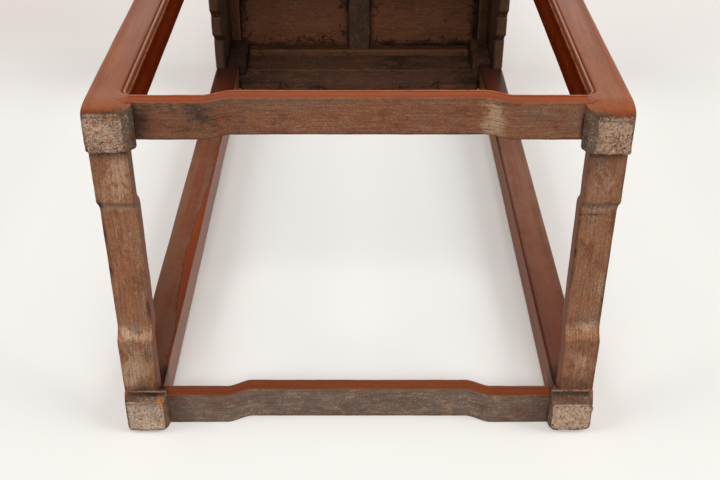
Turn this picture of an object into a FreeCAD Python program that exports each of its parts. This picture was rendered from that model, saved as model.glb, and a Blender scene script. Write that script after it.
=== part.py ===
import FreeCAD, Part
import math
import os
import re
import Sketcher

# Driving dimensions in millimetres, heights measured from the floor
DIMENSIONS = {
    "leg_span_x": 420,
    "leg_span_y": 321,
    "leg_size": 33,
    "leg_corner_radius": 3,
    "lip_width": 3.9,
    "lip_depth": 1.2,
    "foot_height": 28,
    "knee_flare": 5.2,
    "sole_flare": 1.8,
    "sole_inset": 3.4,
    "block_size": 42,
    "block_bottom": 755,
    "stretcher_bottom": 14.5,
    "stretcher_height": 15,
    "stretcher_depth": 30.5,
    "hump_start": 58,
    "hump_run": 22,
    "side_hump_run": 14,
    "hump_rise": 8.6,
    "point_depth": 6,
    "stub_length": 14,
    "stub_thickness": 8,
    "stub_setback": 9,
    "stub_shoulder": 2.5,
    "apron_bottom": 740,
    "apron_top": 776,
    "apron_thickness": 15,
    "apron_slope": 5,
    "belly_low": 688,
    "drop_run": 12,
    "upper_drop": 15,
    "upper_ratio": 0.36,
    "lower_drop": 11,
    "lower_ratio": 0.68,
    "notch_width": 5,
    "notch_rise": 3,
    "pin_offset": 24,
    "pin_neck": 5,
    "pin_head": 8,
    "pin_depth": 4,
    "pin_top": 771,
    "waist_recess": 7,
    "waist_thickness": 9,
    "tongue_thickness": 3,
    "tongue_height": 3,
    "rail_bottom": 828,
    "overall_height": 858,
    "top_length": 432,
    "top_depth": 341,
    "rail_width": 35,
    "edge_round": 2,
    "edge_band": 13,
    "edge_step": 1.5,
    "edge_undercut": 9,
    "edge_foot": 3,
    "cove_radius": 14,
    "corner_tenon_low": 832,
    "corner_tenon_high": 842,
    "corner_tenon_near": 10,
    "corner_tenon_far": 26,
    "corner_tenon_end": 8,
    "leg_tenon_top": 842,
    "leg_tenon_thickness": 6,
    "leg_tenon_width": 12,
    "leg_tenon_start": 17,
    "leg_tenon_side": 28,
    "panel_bottom": 846,
    "panel_gap": 0.4,
    "panel_tongue": 5,
    "groove_depth": 6,
    "groove_height": 5,
    "brace_width": 31,
    "brace_bottom": 829,
    "brace_tenon_width": 18,
    "brace_tenon_length": 9,
    "brace_tenon_low": 832,
    "brace_tenon_high": 842,
    "dovetail_height": 4,
    "dovetail_neck": 20,
    "dovetail_head": 25,
}

doc = FreeCAD.newDocument("incense_stand")
sheet = doc.addObject("Spreadsheet::Sheet", "dims")
for row, (title, size) in enumerate(DIMENSIONS.items(), start=1):
    sheet.set("A%d" % row, title)
    sheet.set("B%d" % row, str(size))
    sheet.setAlias("B%d" % row, title)
doc.recompute()

# Half spans and the limits that several pieces share
HALF_X = "leg_span_x / 2"
HALF_Y = "leg_span_y / 2"
STRETCHER_TOP = "stretcher_bottom + stretcher_height"
WAIST_INNER = "waist_recess + waist_thickness"

# Shares of a foot's height at which its sections are drawn, from below
FOOT_STATIONS = (0, 0.25, 0.5, 0.75, 1)


def named(text):
    """Expression text in which every word is a cell of the dimension sheet."""
    return re.sub(r"[a-z][a-z_]*", lambda word: "dims." + word.group(), text)


def value(text):
    return float(sheet.evalExpression(named(text)))


def bind(item, prop, text):
    item.setExpression(prop, named(text))


def arc_between(start, end, radius, turn):
    """Short circular arc from start to end that bends left for turn 1 and right for turn -1."""
    chord = end - start
    rise = math.sqrt(radius ** 2 - chord.Length ** 2 / 4)
    left = FreeCAD.Vector(-chord.y, chord.x, 0).normalize()
    centre = (start + end) * 0.5 + left * (rise * turn)
    first, last = (start, end) if turn > 0 else (end, start)
    low = math.atan2(first.y - centre.y, first.x - centre.x)
    high = math.atan2(last.y - centre.y, last.x - centre.x)
    circle = Part.Circle(centre, FreeCAD.Vector(0, 0, 1), radius)
    return Part.ArcOfCircle(circle, low, high)


def outline(body, role, corners, level):
    """Closed sketch on an origin plane, each corner placed by two expressions.

    A corner may carry a radius and a turn: the edge that leaves it is then an arc.
    """
    sketch = body.newObject("Sketcher::SketchObject", body.Name + "_outline")
    plane = [item for item in body.Origin.OriginFeatures if item.Role == role][0]
    sketch.AttachmentSupport = [(plane, "")]
    sketch.MapMode = "FlatFace"
    bind(sketch, "AttachmentOffset.Base.z", level)
    points = [FreeCAD.Vector(value(corner[0]), value(corner[1]), 0) for corner in corners]
    heads = []
    for index, corner in enumerate(corners):
        start = points[index]
        end = points[(index + 1) % len(points)]
        if len(corner) == 2:
            sketch.addGeometry(Part.LineSegment(start, end))
            heads.append((1, 2))
        else:
            sketch.addGeometry(arc_between(start, end, value(corner[2]), corner[3]))
            heads.append((1, 2) if corner[3] > 0 else (2, 1))
    for index in range(len(corners)):
        after = (index + 1) % len(corners)
        joint = Sketcher.Constraint("Coincident", index, heads[index][1], after, heads[after][0])
        sketch.addConstraint(joint)
    for index, corner in enumerate(corners):
        for kind, text in zip(("DistanceX", "DistanceY"), corner):
            rule = Sketcher.Constraint(kind, -1, 1, index, heads[index][0], value(text))
            bind(sketch, "Constraints[%d]" % sketch.addConstraint(rule), text)
        if len(corner) > 2:
            rule = Sketcher.Constraint("Radius", index, value(corner[2]))
            bind(sketch, "Constraints[%d]" % sketch.addConstraint(rule), corner[2])
    return sketch


def padded(name, role, corners, low, high):
    """Body made by padding an outline between two levels along its plane's normal."""
    body = doc.addObject("PartDesign::Body", name)
    sketch = outline(body, role, corners, low)
    pad = body.newObject("PartDesign::Pad", name + "_pad")
    pad.Profile = sketch
    bind(pad, "Length", "(%s) - (%s)" % (high, low))
    doc.recompute()
    return body


def block(name, *limits):
    """Rectangular block between a low and a high limit along x, y and z."""
    item = doc.addObject("Part::Box", name)
    for axis, side, (low, high) in zip("xyz", ("Length", "Width", "Height"), limits):
        bind(item, side, "(%s) - (%s)" % (high, low))
        bind(item, "Placement.Base." + axis, low)
    return item


def combined(kind, name, items):
    item = doc.addObject(kind, name)
    item.Shapes = items
    item.Refine = True
    doc.recompute()
    return item


def fused(name, *items):
    return combined("Part::MultiFuse", name, list(items))


def common(name, *items):
    return combined("Part::MultiCommon", name, list(items))


def cut(name, base, *tools):
    item = doc.addObject("Part::Cut", name)
    item.Base = base
    item.Tool = tools[0] if len(tools) == 1 else fused(name + "_tools", *tools)
    item.Refine = True
    doc.recompute()
    return item


def as_drawn(item):
    """Leave a piece on the front side, where every piece is drawn."""
    return item


def turned_left(item):
    """Turn a piece that was drawn on the front side so that it stands on the left side."""
    item.Placement = FreeCAD.Placement(FreeCAD.Vector(), FreeCAD.Rotation(FreeCAD.Vector(0, 0, 1), -90))
    doc.recompute()
    return item


def mirrored(name, source, normal):
    item = doc.addObject("Part::Mirroring", name)
    item.Source = source
    item.Base = FreeCAD.Vector(0, 0, 0)
    item.Normal = normal
    doc.recompute()
    return item


def across(name, source):
    """Same piece on the opposite side, front to back."""
    return mirrored(name, source, FreeCAD.Vector(0, 1, 0))


def beside(name, source):
    """Same piece on the opposite side, left to right."""
    return mirrored(name, source, FreeCAD.Vector(1, 0, 0))


def ogee(x, z, run, rise, way, climb):
    """Two equal arcs that carry a level edge up or down to the next level edge."""
    radius = "((%s)^2 + (%s)^2) / (4 * (%s))" % (run, rise, rise)
    half_x = "%s + %d * (%s) / 2" % (x, way, run)
    half_z = "%s + %d * (%s) / 2" % (z, climb, rise)
    return [(x, z, radius, way * climb), (half_x, half_z, radius, -way * climb)]


def mitred_plan(name, half_run, set_out, depth, low, high):
    """Plan of a front piece whose ends are mitred at 45 degrees towards the inside."""
    corners = [
        ("-(%s)" % half_run, "-(%s)" % set_out),
        (half_run, "-(%s)" % set_out),
        ("%s - (%s)" % (half_run, depth), "%s - (%s)" % (depth, set_out)),
        ("%s - (%s)" % (depth, half_run), "%s - (%s)" % (depth, set_out)),
    ]
    return padded(name, "XY_Plane", corners, low, high)


def humped_edge(inner, level, run, way):
    """Edge of a stretcher between the legs: level, up the step, raised middle and down again."""
    start = "%d * (%s - hump_start)" % (-way, inner)
    raised = "%d * (%s - hump_start - %s)" % (way, inner, run)
    top = "%s + hump_rise" % level
    edge = [("%d * (%s)" % (-way, inner), level)]
    edge += ogee(start, level, run, "hump_rise", way, 1)
    edge.append(("%d * (%s - hump_start - %s)" % (-way, inner, run), top))
    edge += ogee(raised, top, run, "hump_rise", way, -1)
    edge.append(("%d * (%s - hump_start)" % (way, inner), level))
    edge.append(("%d * (%s)" % (way, inner), level))
    return edge


def stretcher(name, half_run, set_out, step_run):
    """Humpback stretcher with a pointed outer shoulder and a stub tenon at each end."""
    inner = "(%s - leg_size)" % half_run
    lower = humped_edge(inner, "stretcher_bottom", step_run, 1)
    corners = lower + humped_edge(inner, STRETCHER_TOP, step_run, -1)
    bar = padded(name + "_bar", "XZ_Plane", corners, set_out + " - stretcher_depth", set_out)
    pieces = [bar]
    for side, word in ((-1, "left"), (1, "right")):
        root = "%d * %s" % (side, inner)
        tip = "%d * (%s + stretcher_height / 2)" % (side, inner)
        middle = "stretcher_bottom + stretcher_height / 2"
        point = [(root, "stretcher_bottom"), (tip, middle), (root, STRETCHER_TOP)]
        if side < 0:
            point.reverse()
        pieces.append(padded(name + "_point_" + word, "XZ_Plane", point, set_out + " - point_depth", set_out))
        reach = sorted((root, "%d * (%s + stub_length)" % (side, inner)), key=value)
        across_y = ("stub_setback - %s" % set_out, "stub_setback + stub_thickness - %s" % set_out)
        height = ("stretcher_bottom + stub_shoulder", STRETCHER_TOP + " - stub_shoulder")
        pieces.append(block(name + "_stub_" + word, reach, across_y, height))
    return fused(name, *pieces)


def belly_half(inner, margin, level):
    """Line along an apron from the left leg to the middle: two notched steps down to the belly.

    The line starts a margin beyond the leg's inner face, at a level.
    """
    edge = [("-1 * (%s + %s)" % (inner, margin), level)]
    for ratio, drop in (("upper_ratio", "upper_drop"), ("lower_ratio", "lower_drop")):
        start = "-1 * %s * (1 - %s)" % (inner, ratio)
        edge.append(("%s - notch_width" % start, level))
        edge.append(("%s - notch_width / 2" % start, level + " + notch_rise"))
        edge += ogee(start, level, "drop_run", drop, 1, -1)
        level = "%s - %s" % (level, drop)
        edge.append(("%s + drop_run" % start, level))
    return edge


def mirrored_edge(edge):
    """Second half of a symmetrical edge: the first half read backwards on the other side."""
    points = []
    for index in range(len(edge) - 1, -1, -1):
        x, z = edge[index][:2]
        before = edge[index - 1] if index else ()
        points.append(("-(%s)" % x, z) + tuple(before[2:]))
    return points


def shoulder_slope(name, half_run, set_out):
    """Void above the sloping shoulder between the apron's face and the waist."""
    corners = [
        ("-(%s)" % set_out, "apron_top - apron_slope"),
        ("waist_recess - %s" % set_out, "apron_top"),
        ("-(%s)" % set_out, "apron_top"),
    ]
    return padded(name, "YZ_Plane", corners, "-(%s)" % half_run, half_run)


def pin_groove(name, half_run, set_out, side):
    """Dovetail groove in the back of an apron that hangs on a pin of the leg."""
    middle = "%d * (%s - pin_offset)" % (side, half_run)
    back = "apron_thickness - %s" % set_out
    front = "apron_thickness - pin_depth - %s" % set_out
    corners = [
        ("%s - pin_head / 2" % middle, front),
        ("%s + pin_head / 2" % middle, front),
        ("%s + pin_neck / 2" % middle, back),
        ("%s - pin_neck / 2" % middle, back),
    ]
    return padded(name, "XY_Plane", corners, "apron_bottom", "pin_top")


def waist(name, half_run, set_out):
    """Recessed waist board with a tongue along its upper and lower edge, mitred at the corners."""
    run = "(%s - waist_recess)" % half_run
    out = "(%s - waist_recess)" % set_out
    board = mitred_plan(name + "_board", run, out, "waist_thickness", "apron_top", "rail_bottom")
    inset = "((waist_thickness - tongue_thickness) / 2)"
    tongue = mitred_plan(
        name + "_tongue",
        "(%s - %s)" % (run, inset),
        "(%s - %s)" % (out, inset),
        "tongue_thickness",
        "apron_top - tongue_height",
        "rail_bottom + tongue_height",
    )
    return fused(name, board, tongue)


def apron_lip(name, inner, set_out):
    """Void along the lower edge of an apron's face that leaves the lip, as wide as the lip of a leg."""
    left = belly_half(inner, "lip_width", "apron_bottom + lip_width")
    corners = left + mirrored_edge(left)
    corners += [("%s + lip_width" % inner, "belly_low"), ("-1 * (%s + lip_width)" % inner, "belly_low")]
    return padded(name, "XZ_Plane", corners, set_out + " - lip_depth", set_out)


def apron(name, half_run, set_out, place, *mates):
    """Apron with a dropped belly; its ends follow the mitres with the leg and the next apron."""
    inner = "(%s - leg_size)" % half_run
    left = belly_half(inner, "0 * lip_width", "apron_bottom")
    corners = left + mirrored_edge(left)
    corners += [(half_run, "apron_top"), ("-(%s)" % half_run, "apron_top")]
    face = padded(name + "_face", "XZ_Plane", corners, set_out + " - apron_thickness", set_out)
    plan = mitred_plan(name + "_plan", half_run, set_out, "apron_thickness", "belly_low", "apron_top")
    left_groove = pin_groove(name + "_groove_left", half_run, set_out, -1)
    right_groove = pin_groove(name + "_groove_right", half_run, set_out, 1)
    lip = apron_lip(name + "_lip", inner, set_out)
    blank = cut(name + "_blank", common(name + "_board", face, plan), left_groove, right_groove, lip)
    return cut(name, place(blank), *mates)


def leg_section(low, high):
    """Square leg section of the front left leg between two distances from its outer faces."""
    x_low = "%s - %s" % (low, HALF_X)
    x_high = "%s - %s" % (high, HALF_X)
    y_low = "%s - %s" % (low, HALF_Y)
    y_high = "%s - %s" % (high, HALF_Y)
    return [
        (x_low + " + leg_corner_radius", y_low),
        (x_high, y_low),
        (x_high, y_high),
        (x_low, y_high),
        (x_low, y_low + " + leg_corner_radius", "leg_corner_radius", 1),
    ]


def lofted(name, sections):
    """Body lofted through level sections, each given as its corners and its height."""
    body = doc.addObject("PartDesign::Body", name)
    sketches = [outline(body, "XY_Plane", corners, level) for corners, level in sections]
    doc.recompute()
    loft = body.newObject("PartDesign::AdditiveLoft", name + "_loft")
    loft.Profile = sketches[0]
    loft.Sections = sketches[1:]
    doc.recompute()
    return body


def hoof():
    """Foot below the stretchers, drawn in from its knee to a smaller sole on all four sides."""
    sections = []
    for share in FOOT_STATIONS:
        drawn_in = (1 - share) ** 2
        reach = "leg_size + knee_flare - (knee_flare - sole_flare) * %g" % drawn_in
        sections.append((leg_section("sole_inset * %g" % drawn_in, reach), "stretcher_bottom * %g" % share))
    return lofted("hoof", sections)


def knee():
    """Inner faces of a foot above its widest place, where they run back into the leg."""
    sections = []
    for share in FOOT_STATIONS:
        reach = "leg_size + knee_flare * %g" % (1 - share ** 2)
        level = "stretcher_bottom + (foot_height - stretcher_bottom) * %g" % share
        sections.append((leg_section("0 * leg_size", reach), level))
    return lofted("knee", sections)


def near_corner(name, x_limits, y_limits, heights):
    """Block given by distances from the outer faces of the front left leg."""
    x = ["%s - %s" % (limit, HALF_X) for limit in x_limits]
    y = ["%s - %s" % (limit, HALF_Y) for limit in y_limits]
    return block(name, x, y, heights)


def leg(name, *mates):
    """Front left leg: hoof foot, lipped post, corner block and two tenons, cut by the pieces it holds."""
    post = padded("leg_post", "XY_Plane", leg_section("0 * leg_size", "leg_size"), "foot_height", "apron_top")
    core = (WAIST_INNER, "block_size")
    corner_block = near_corner("leg_corner_block", core, core, ("block_bottom", "rail_bottom"))
    thick = ("leg_tenon_start", "leg_tenon_start + leg_tenon_thickness")
    wide = ("leg_tenon_side", "leg_tenon_side + leg_tenon_width")
    rise = ("rail_bottom", "leg_tenon_top")
    long_tenon = near_corner("leg_long_tenon", wide, thick, rise)
    short_tenon = near_corner("leg_short_tenon", thick, wide, rise)
    blank = fused(name + "_blank", hoof(), knee(), post, corner_block, long_tenon, short_tenon)
    rim = ("leg_size - lip_width", "leg_size")
    skin = ("0 * leg_size", "lip_depth")
    length = (STRETCHER_TOP, "apron_bottom + lip_width")
    front_lip = near_corner("leg_front_lip", rim, skin, length)
    side_lip = near_corner("leg_side_lip", skin, rim, length)
    return cut(name, blank, front_lip, side_lip, *mates)


def brace():
    """Brace between the long rails, dovetailed into the panel along its whole upper face."""
    reach = "(top_depth / 2 - rail_width)"
    half = "brace_width / 2"
    bar = block(
        "panel_brace_bar",
        ("-brace_width / 2", half),
        ("-%s" % reach, reach),
        ("brace_bottom", "panel_bottom"),
    )
    tenon = block(
        "panel_brace_tenon",
        ("-brace_tenon_width / 2", "brace_tenon_width / 2"),
        ("-%s - brace_tenon_length" % reach, "%s + brace_tenon_length" % reach),
        ("brace_tenon_low", "brace_tenon_high"),
    )
    corners = [
        ("-dovetail_neck / 2", "panel_bottom"),
        ("dovetail_neck / 2", "panel_bottom"),
        ("dovetail_head / 2", "panel_bottom + dovetail_height"),
        ("-dovetail_head / 2", "panel_bottom + dovetail_height"),
    ]
    dovetail = padded("panel_brace_dovetail", "XZ_Plane", corners, "-%s" % reach, reach)
    return fused("panel_brace", bar, tenon, dovetail)


def inside_frame(name, margin, low, high):
    """Block that fills the frame's opening, widened by a margin on every side."""
    half_x = "(top_length / 2 - rail_width + %s)" % margin
    half_y = "(top_depth / 2 - rail_width + %s)" % margin
    return block(name, ("-" + half_x, half_x), ("-" + half_y, half_y), (low, high))


def panel(stiffener):
    """Floating panel, level with the frame, with a tongue on all four edges."""
    board = inside_frame("top_panel_board", "(0 - panel_gap)", "panel_bottom", "overall_height")
    tongue = inside_frame("top_panel_tongue", "panel_tongue", "panel_bottom", "panel_bottom + groove_height")
    blank = fused("top_panel_blank", board, tongue)
    return cut("top_panel", blank, stiffener)


def rail_profile(out):
    """Section of a top rail: rounded upper band over a coved, undercut lower edge."""
    face = "-(%s)" % out
    band_low = "overall_height - edge_band"
    return [
        ("edge_undercut - %s" % out, "rail_bottom"),
        ("rail_width - %s" % out, "rail_bottom"),
        ("rail_width - %s" % out, "overall_height"),
        ("edge_round - %s" % out, "overall_height", "edge_round", 1),
        (face, "overall_height - edge_round"),
        (face, band_low),
        ("edge_step - %s" % out, band_low + " - edge_step", "cove_radius", -1),
        ("edge_undercut - %s" % out, "rail_bottom + edge_foot"),
    ]


def rail_blank(name, half_run, out):
    """Moulded rail of the top frame with mitred ends."""
    bar = padded(name + "_bar", "YZ_Plane", rail_profile(out), "-(%s)" % half_run, half_run)
    plan = mitred_plan(name + "_plan", half_run, out, "rail_width", "rail_bottom", "overall_height")
    return common(name + "_blank", bar, plan)


def long_rail(name, *mates):
    """Front rail with a tenon beyond each mitre, mortised for the legs, waist, panel and brace."""
    blank = rail_blank(name, "top_length / 2", "top_depth / 2")
    y_limits = ("corner_tenon_near - top_depth / 2", "corner_tenon_far - top_depth / 2")
    heights = ("corner_tenon_low", "corner_tenon_high")
    outer = "top_length / 2 - corner_tenon_end"
    inner = "top_length / 2 - rail_width"
    left = block(name + "_tenon_left", ("-(%s)" % outer, "-(%s)" % inner), y_limits, heights)
    right = block(name + "_tenon_right", (inner, outer), y_limits, heights)
    return cut(name, fused(name + "_tenoned", blank, left, right), *mates)


def short_rail(name, *mates):
    """Left rail, mortised for the tenons of both long rails and for the legs, waist and panel."""
    blank = turned_left(rail_blank(name, "top_depth / 2", "top_length / 2"))
    return cut(name, blank, *mates)


def build():
    stretcher_front = stretcher("stretcher_front", HALF_X, HALF_Y, "hump_run")
    stretcher_left = turned_left(stretcher("stretcher_left", HALF_Y, HALF_X, "side_hump_run"))
    waist_front = waist("waist_front", HALF_X, HALF_Y)
    waist_left = turned_left(waist("waist_left", HALF_Y, HALF_X))
    slope_front = shoulder_slope("slope_front", HALF_X, HALF_Y)
    slope_left = turned_left(shoulder_slope("slope_left", HALF_Y, HALF_X))
    apron_front = apron("apron_front", HALF_X, HALF_Y, as_drawn, waist_front, slope_front)
    apron_left = apron("apron_left", HALF_Y, HALF_X, turned_left, waist_left, slope_left)
    held = (stretcher_front, stretcher_left, apron_front, apron_left, waist_front, waist_left)
    leg_front_left = leg("leg_front_left", slope_front, slope_left, *held)
    leg_front_right = beside("leg_front_right", leg_front_left)
    leg_back_left = across("leg_back_left", leg_front_left)
    leg_back_right = beside("leg_back_right", leg_back_left)
    panel_brace = brace()
    top_panel = panel(panel_brace)
    groove = inside_frame("panel_groove", "groove_depth", "panel_bottom", "panel_bottom + groove_height")
    waist_back = across("waist_back", waist_front)
    rail_front = long_rail("rail_front", groove, waist_front, leg_front_left, leg_front_right, panel_brace)
    rail_back = across("rail_back", rail_front)
    waists = (waist_left, waist_front, waist_back)
    rail_left = short_rail("rail_left", groove, leg_front_left, leg_back_left, rail_front, rail_back, *waists)
    return [
        leg_front_left,
        leg_front_right,
        leg_back_left,
        leg_back_right,
        stretcher_front,
        across("stretcher_back", stretcher_front),
        stretcher_left,
        beside("stretcher_right", stretcher_left),
        apron_front,
        across("apron_back", apron_front),
        apron_left,
        beside("apron_right", apron_left),
        waist_front,
        waist_back,
        waist_left,
        beside("waist_right", waist_left),
        rail_front,
        rail_back,
        rail_left,
        beside("rail_right", rail_left),
        top_panel,
        panel_brace,
    ]


pieces = build()
doc.recompute()
for item in doc.Objects:
    if "Invalid" in item.State or "Error" in item.State:
        raise RuntimeError("%s could not be built" % item.Name)
os.makedirs("parts", exist_ok=True)
for piece in pieces:
    shape = piece.Shape
    if shape.isNull() or not shape.isValid() or len(shape.Solids) != 1:
        raise RuntimeError("%s is not one valid solid" % piece.Label)
    shape.exportStep("parts/%s.step" % piece.Label)
    print(piece.Label, round(shape.Volume), shape.BoundBox)
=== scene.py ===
import math
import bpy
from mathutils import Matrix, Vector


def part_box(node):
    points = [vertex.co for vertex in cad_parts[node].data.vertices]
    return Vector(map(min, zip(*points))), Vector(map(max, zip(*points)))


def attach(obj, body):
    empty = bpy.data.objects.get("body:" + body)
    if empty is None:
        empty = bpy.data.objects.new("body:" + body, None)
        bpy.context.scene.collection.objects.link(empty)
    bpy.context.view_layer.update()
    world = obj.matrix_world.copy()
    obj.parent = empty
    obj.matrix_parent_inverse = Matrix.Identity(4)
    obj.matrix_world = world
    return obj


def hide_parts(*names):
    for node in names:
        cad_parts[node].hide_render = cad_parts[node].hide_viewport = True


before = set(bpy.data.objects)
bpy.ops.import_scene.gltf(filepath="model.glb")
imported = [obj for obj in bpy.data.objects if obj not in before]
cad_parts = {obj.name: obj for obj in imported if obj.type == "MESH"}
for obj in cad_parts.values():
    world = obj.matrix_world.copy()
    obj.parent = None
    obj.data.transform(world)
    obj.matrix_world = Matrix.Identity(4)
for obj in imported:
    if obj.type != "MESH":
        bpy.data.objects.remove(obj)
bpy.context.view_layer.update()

from types import SimpleNamespace

import bmesh
import bpy
import numpy as np
from mathutils import Matrix, Vector, noise

scene = bpy.context.scene

# Sizes are in millimetres until a mesh is made
MM = 0.001


def node_box(node):
    """Lowest and highest corner of a CAD node in millimetres."""
    low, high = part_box(node)
    return np.array(low) / MM, np.array(high) / MM


# Main sizes of the stand, read from the frame
leg_low, leg_high = node_box("leg_front_left")
HALF_X = -leg_low[0]
HALF_Y = -leg_low[1]
BLOCK_SIZE = leg_high[0] - leg_low[0]
bar_low, bar_high = node_box("stretcher_front")
BAR_BOTTOM = bar_low[2]
BAR_DEPTH = bar_high[1] - bar_low[1]
apron_low, apron_high = node_box("apron_front")
APRON_TOP = apron_high[2]
APRON_DEPTH = apron_high[1] - apron_low[1]
waist_low, waist_high = node_box("waist_front")
WAIST_RECESS = HALF_Y + waist_low[1]
WAIST_INNER = HALF_Y + waist_high[1]
rail_low, rail_high = node_box("rail_front")
RAIL_BOTTOM = rail_low[2]
TOP_HEIGHT = rail_high[2]
TOP_X = -rail_low[0]
TOP_Y = -rail_low[1]
RAIL_WIDTH = rail_high[1] - rail_low[1]
brace_low, brace_high = node_box("panel_brace")
BRACE_BOTTOM = brace_low[2]
BRACE_HALF = brace_high[0]
PANEL_BOTTOM = node_box("top_panel")[0][2]

# Leg: square post, lipped inner edges and a hoof foot
LEG_SIZE = 33.0
CORNER_RADIUS = 3.0
BEAD_INSET = 3.5
BEAD_WIDTH = 1.0
BEAD_PROUD = 0.15
BEAD_TURN = 9.0
HOLLOW_WIDTH = 4.6
HOLLOW_DEPTH = 0.5
RISER_RUN = 1.1
LEDGE_DEPTH = 1.2
BLOCK_BOTTOM = 755.0

# Feet: inset of the outer edge at the sole, then inward reach at the sole and at the knee,
# first along the front and then in depth, and how square the sole's corners are
FEET = {
    "leg_front_left": ((2.8, 31.6, 38.4), (4.2, 36.4, 37.0), 12),
    "leg_front_right": ((3.4, 28.8, 37.8), (8.4, 38.2, 38.2), 12),
    "leg_back_left": ((3.4, 36.6, 37.6), (4.2, 37.2, 38.2), 10),
    "leg_back_right": ((2.4, 37.6, 37.2), (4.8, 34.4, 39.6), 8),
}
CURVE_RISE = 26.0
SOLE_RISE = 9.0
SOLE_WEAR = 12.0
INNER_WEAR = 2.2

# Stretcher: level ends, two steps and a raised middle
BAR_HEIGHT = 15.0
STEP_START = 58.0
STEP_RISE = 8.6
POINT_DEPTH = 6.0

# Apron: two notched steps down to the belly, counted from the leg
APRON_BOTTOM = 740.0
APRON_STEPS = ((0.64, 15.0), (0.32, 11.0))
DROP_RUN = 12.0
NOTCH_WIDTH = 5.0
NOTCH_RISE = 3.0
APRON_SLOPE = 5.0

# Surface marks: one value each at every point of a piece; besides real wear, dirt and colour, the darkening
# marks also carry painted shade and the rubbing mark painted highlights
MARKS = (
    "bare", "rub", "grime", "end", "flush", "warm", "deep",
    "pale", "ash", "craze", "sheen", "skin", "shade", "stain",
)
ARC_STEPS = 4
SHARP_ANGLE = math.radians(38)

# Each piece has its own seed, which shifts its unevenness and its grain
NOISE_SEED = 11
NOISE_STRIDE = (7.3, 3.1, 5.7)
GRAIN_STRIDE = (0.37, 0.11, 0.23)
noise.seed_set(NOISE_SEED)


def smooth(values, low, high):
    """Smooth step from 0 at low to 1 at high."""
    share = np.clip((np.asarray(values, float) - low) / (high - low), 0, 1)
    return share * share * (3 - 2 * share)


def near(values, spot, reach):
    """1 at a spot, falling smoothly to 0 at its reach."""
    return 1 - smooth(np.abs(np.asarray(values, float) - spot), 0, reach)


def corner_arc(before, here, after, radius):
    """Points of a rounded corner, from the edge that arrives to the edge that leaves."""
    arms = []
    for other in (before, after):
        arm = other - here
        length = max(np.linalg.norm(arm), 1e-6)
        arms.append(arm / length * min(radius, 0.45 * length))
    share = np.linspace(0, 1, ARC_STEPS + 1)[:, None]
    return here + arms[0] * (1 - share) ** 2 + arms[1] * share ** 2


def divisions(corners, step):
    """Number of parts that each run between two corners is divided into."""
    spots = np.array([corner[:2] for corner in corners], float)
    runs = np.linalg.norm(np.roll(spots, -1, axis=0) - spots, axis=1)
    return [max(1, round(run / step)) for run in runs]


def outline(corners, counts):
    """Closed outline through rounded corners given as two coordinates and a radius."""
    spots = np.array([corner[:2] for corner in corners], float)
    arcs = []
    for k, corner in enumerate(corners):
        arcs.append(corner_arc(spots[k - 1], spots[k], spots[(k + 1) % len(spots)], corner[2]))
    points = []
    for k, arc in enumerate(arcs):
        points.extend(arc)
        run = arcs[(k + 1) % len(arcs)][0] - arc[-1]
        for part in range(1, counts[k]):
            points.append(arc[-1] + run * part / counts[k])
    return np.array(points)


def capped(rings, shares):
    """Stack of outlines with further rings that shrink to the middle of either end."""
    ends = []
    for ring in (rings[0], rings[-1]):
        middle = ring.mean(axis=0)
        ends.append([middle + (ring - middle) * share for share in shares])
    return np.concatenate((ends[0], rings, ends[1][::-1]))


def straight(section, stations, axis, shares):
    """Section repeated at stations along an axis, closed by shrinking rings."""
    rings = [np.insert(section, axis, station, axis=1) for station in stations]
    return capped(np.array(rings), shares)


def shell(rings, grain, **marks):
    """Closed skin over a stack of outlines, with its grain coordinates and surface marks."""
    stations, around = rings.shape[:2]
    index = np.arange(stations * around).reshape(stations, around)
    beside = np.roll(index, -1, axis=1)
    quads = np.stack((index[:-1], beside[:-1], beside[1:], index[1:]), axis=-1)
    faces = quads.reshape(-1, 4).tolist() + [index[0].tolist(), index[-1].tolist()]
    made = {"points": rings.reshape(-1, 3), "faces": faces, "grain": grain.reshape(-1, 3)}
    for mark in MARKS:
        made[mark] = np.broadcast_to(marks.get(mark, 0.0), (stations, around)).reshape(-1)
    return made


def uneven(points, amount, pitch, seed):
    """Small hand-made unevenness, the same for the same place and seed."""
    shift = Vector([seed * part for part in NOISE_STRIDE])
    moves = [noise.noise_vector(Vector(point) / pitch + shift) for point in points.reshape(-1, 3)]
    return points + np.array(moves).reshape(points.shape) * amount


def joined(shells):
    """One set of points, faces and marks from several skins."""
    made = {"points": np.concatenate([part["points"] for part in shells]), "faces": []}
    start = 0
    for part in shells:
        made["faces"] += [[start + corner for corner in face] for face in part["faces"]]
        start += len(part["points"])
    for key in ("grain",) + MARKS:
        made[key] = np.concatenate([part[key] for part in shells])
    return made


def make_piece(node, slot, shells, place, seed):
    """Finished piece that stands for a CAD node: mesh, marks, material and its place in the frame."""
    made = joined(shells)
    name = node + "_timber"
    mesh = bpy.data.meshes.new(name)
    mesh.from_pydata((place(made["points"]) * MM).tolist(), [], made["faces"])
    work = bmesh.new()
    work.from_mesh(mesh)
    bmesh.ops.recalc_face_normals(work, faces=work.faces)
    work.to_mesh(mesh)
    work.free()
    own_place = np.array([seed * part for part in GRAIN_STRIDE])
    grain = mesh.attributes.new("grain", "FLOAT_VECTOR", "POINT")
    grain.data.foreach_set("vector", (made["grain"] * MM + own_place).ravel())
    for mark in MARKS:
        values = mesh.attributes.new(mark, "FLOAT", "POINT")
        values.data.foreach_set("value", np.ascontiguousarray(made[mark], dtype=np.float32))
    mesh.materials.append(WOODS[slot])
    mesh.shade_smooth()
    mesh.set_sharp_from_angle(angle=SHARP_ANGLE)
    piece = bpy.data.objects.new(name, mesh)
    scene.collection.objects.link(piece)
    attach(piece, "root")
    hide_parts(node)


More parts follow.
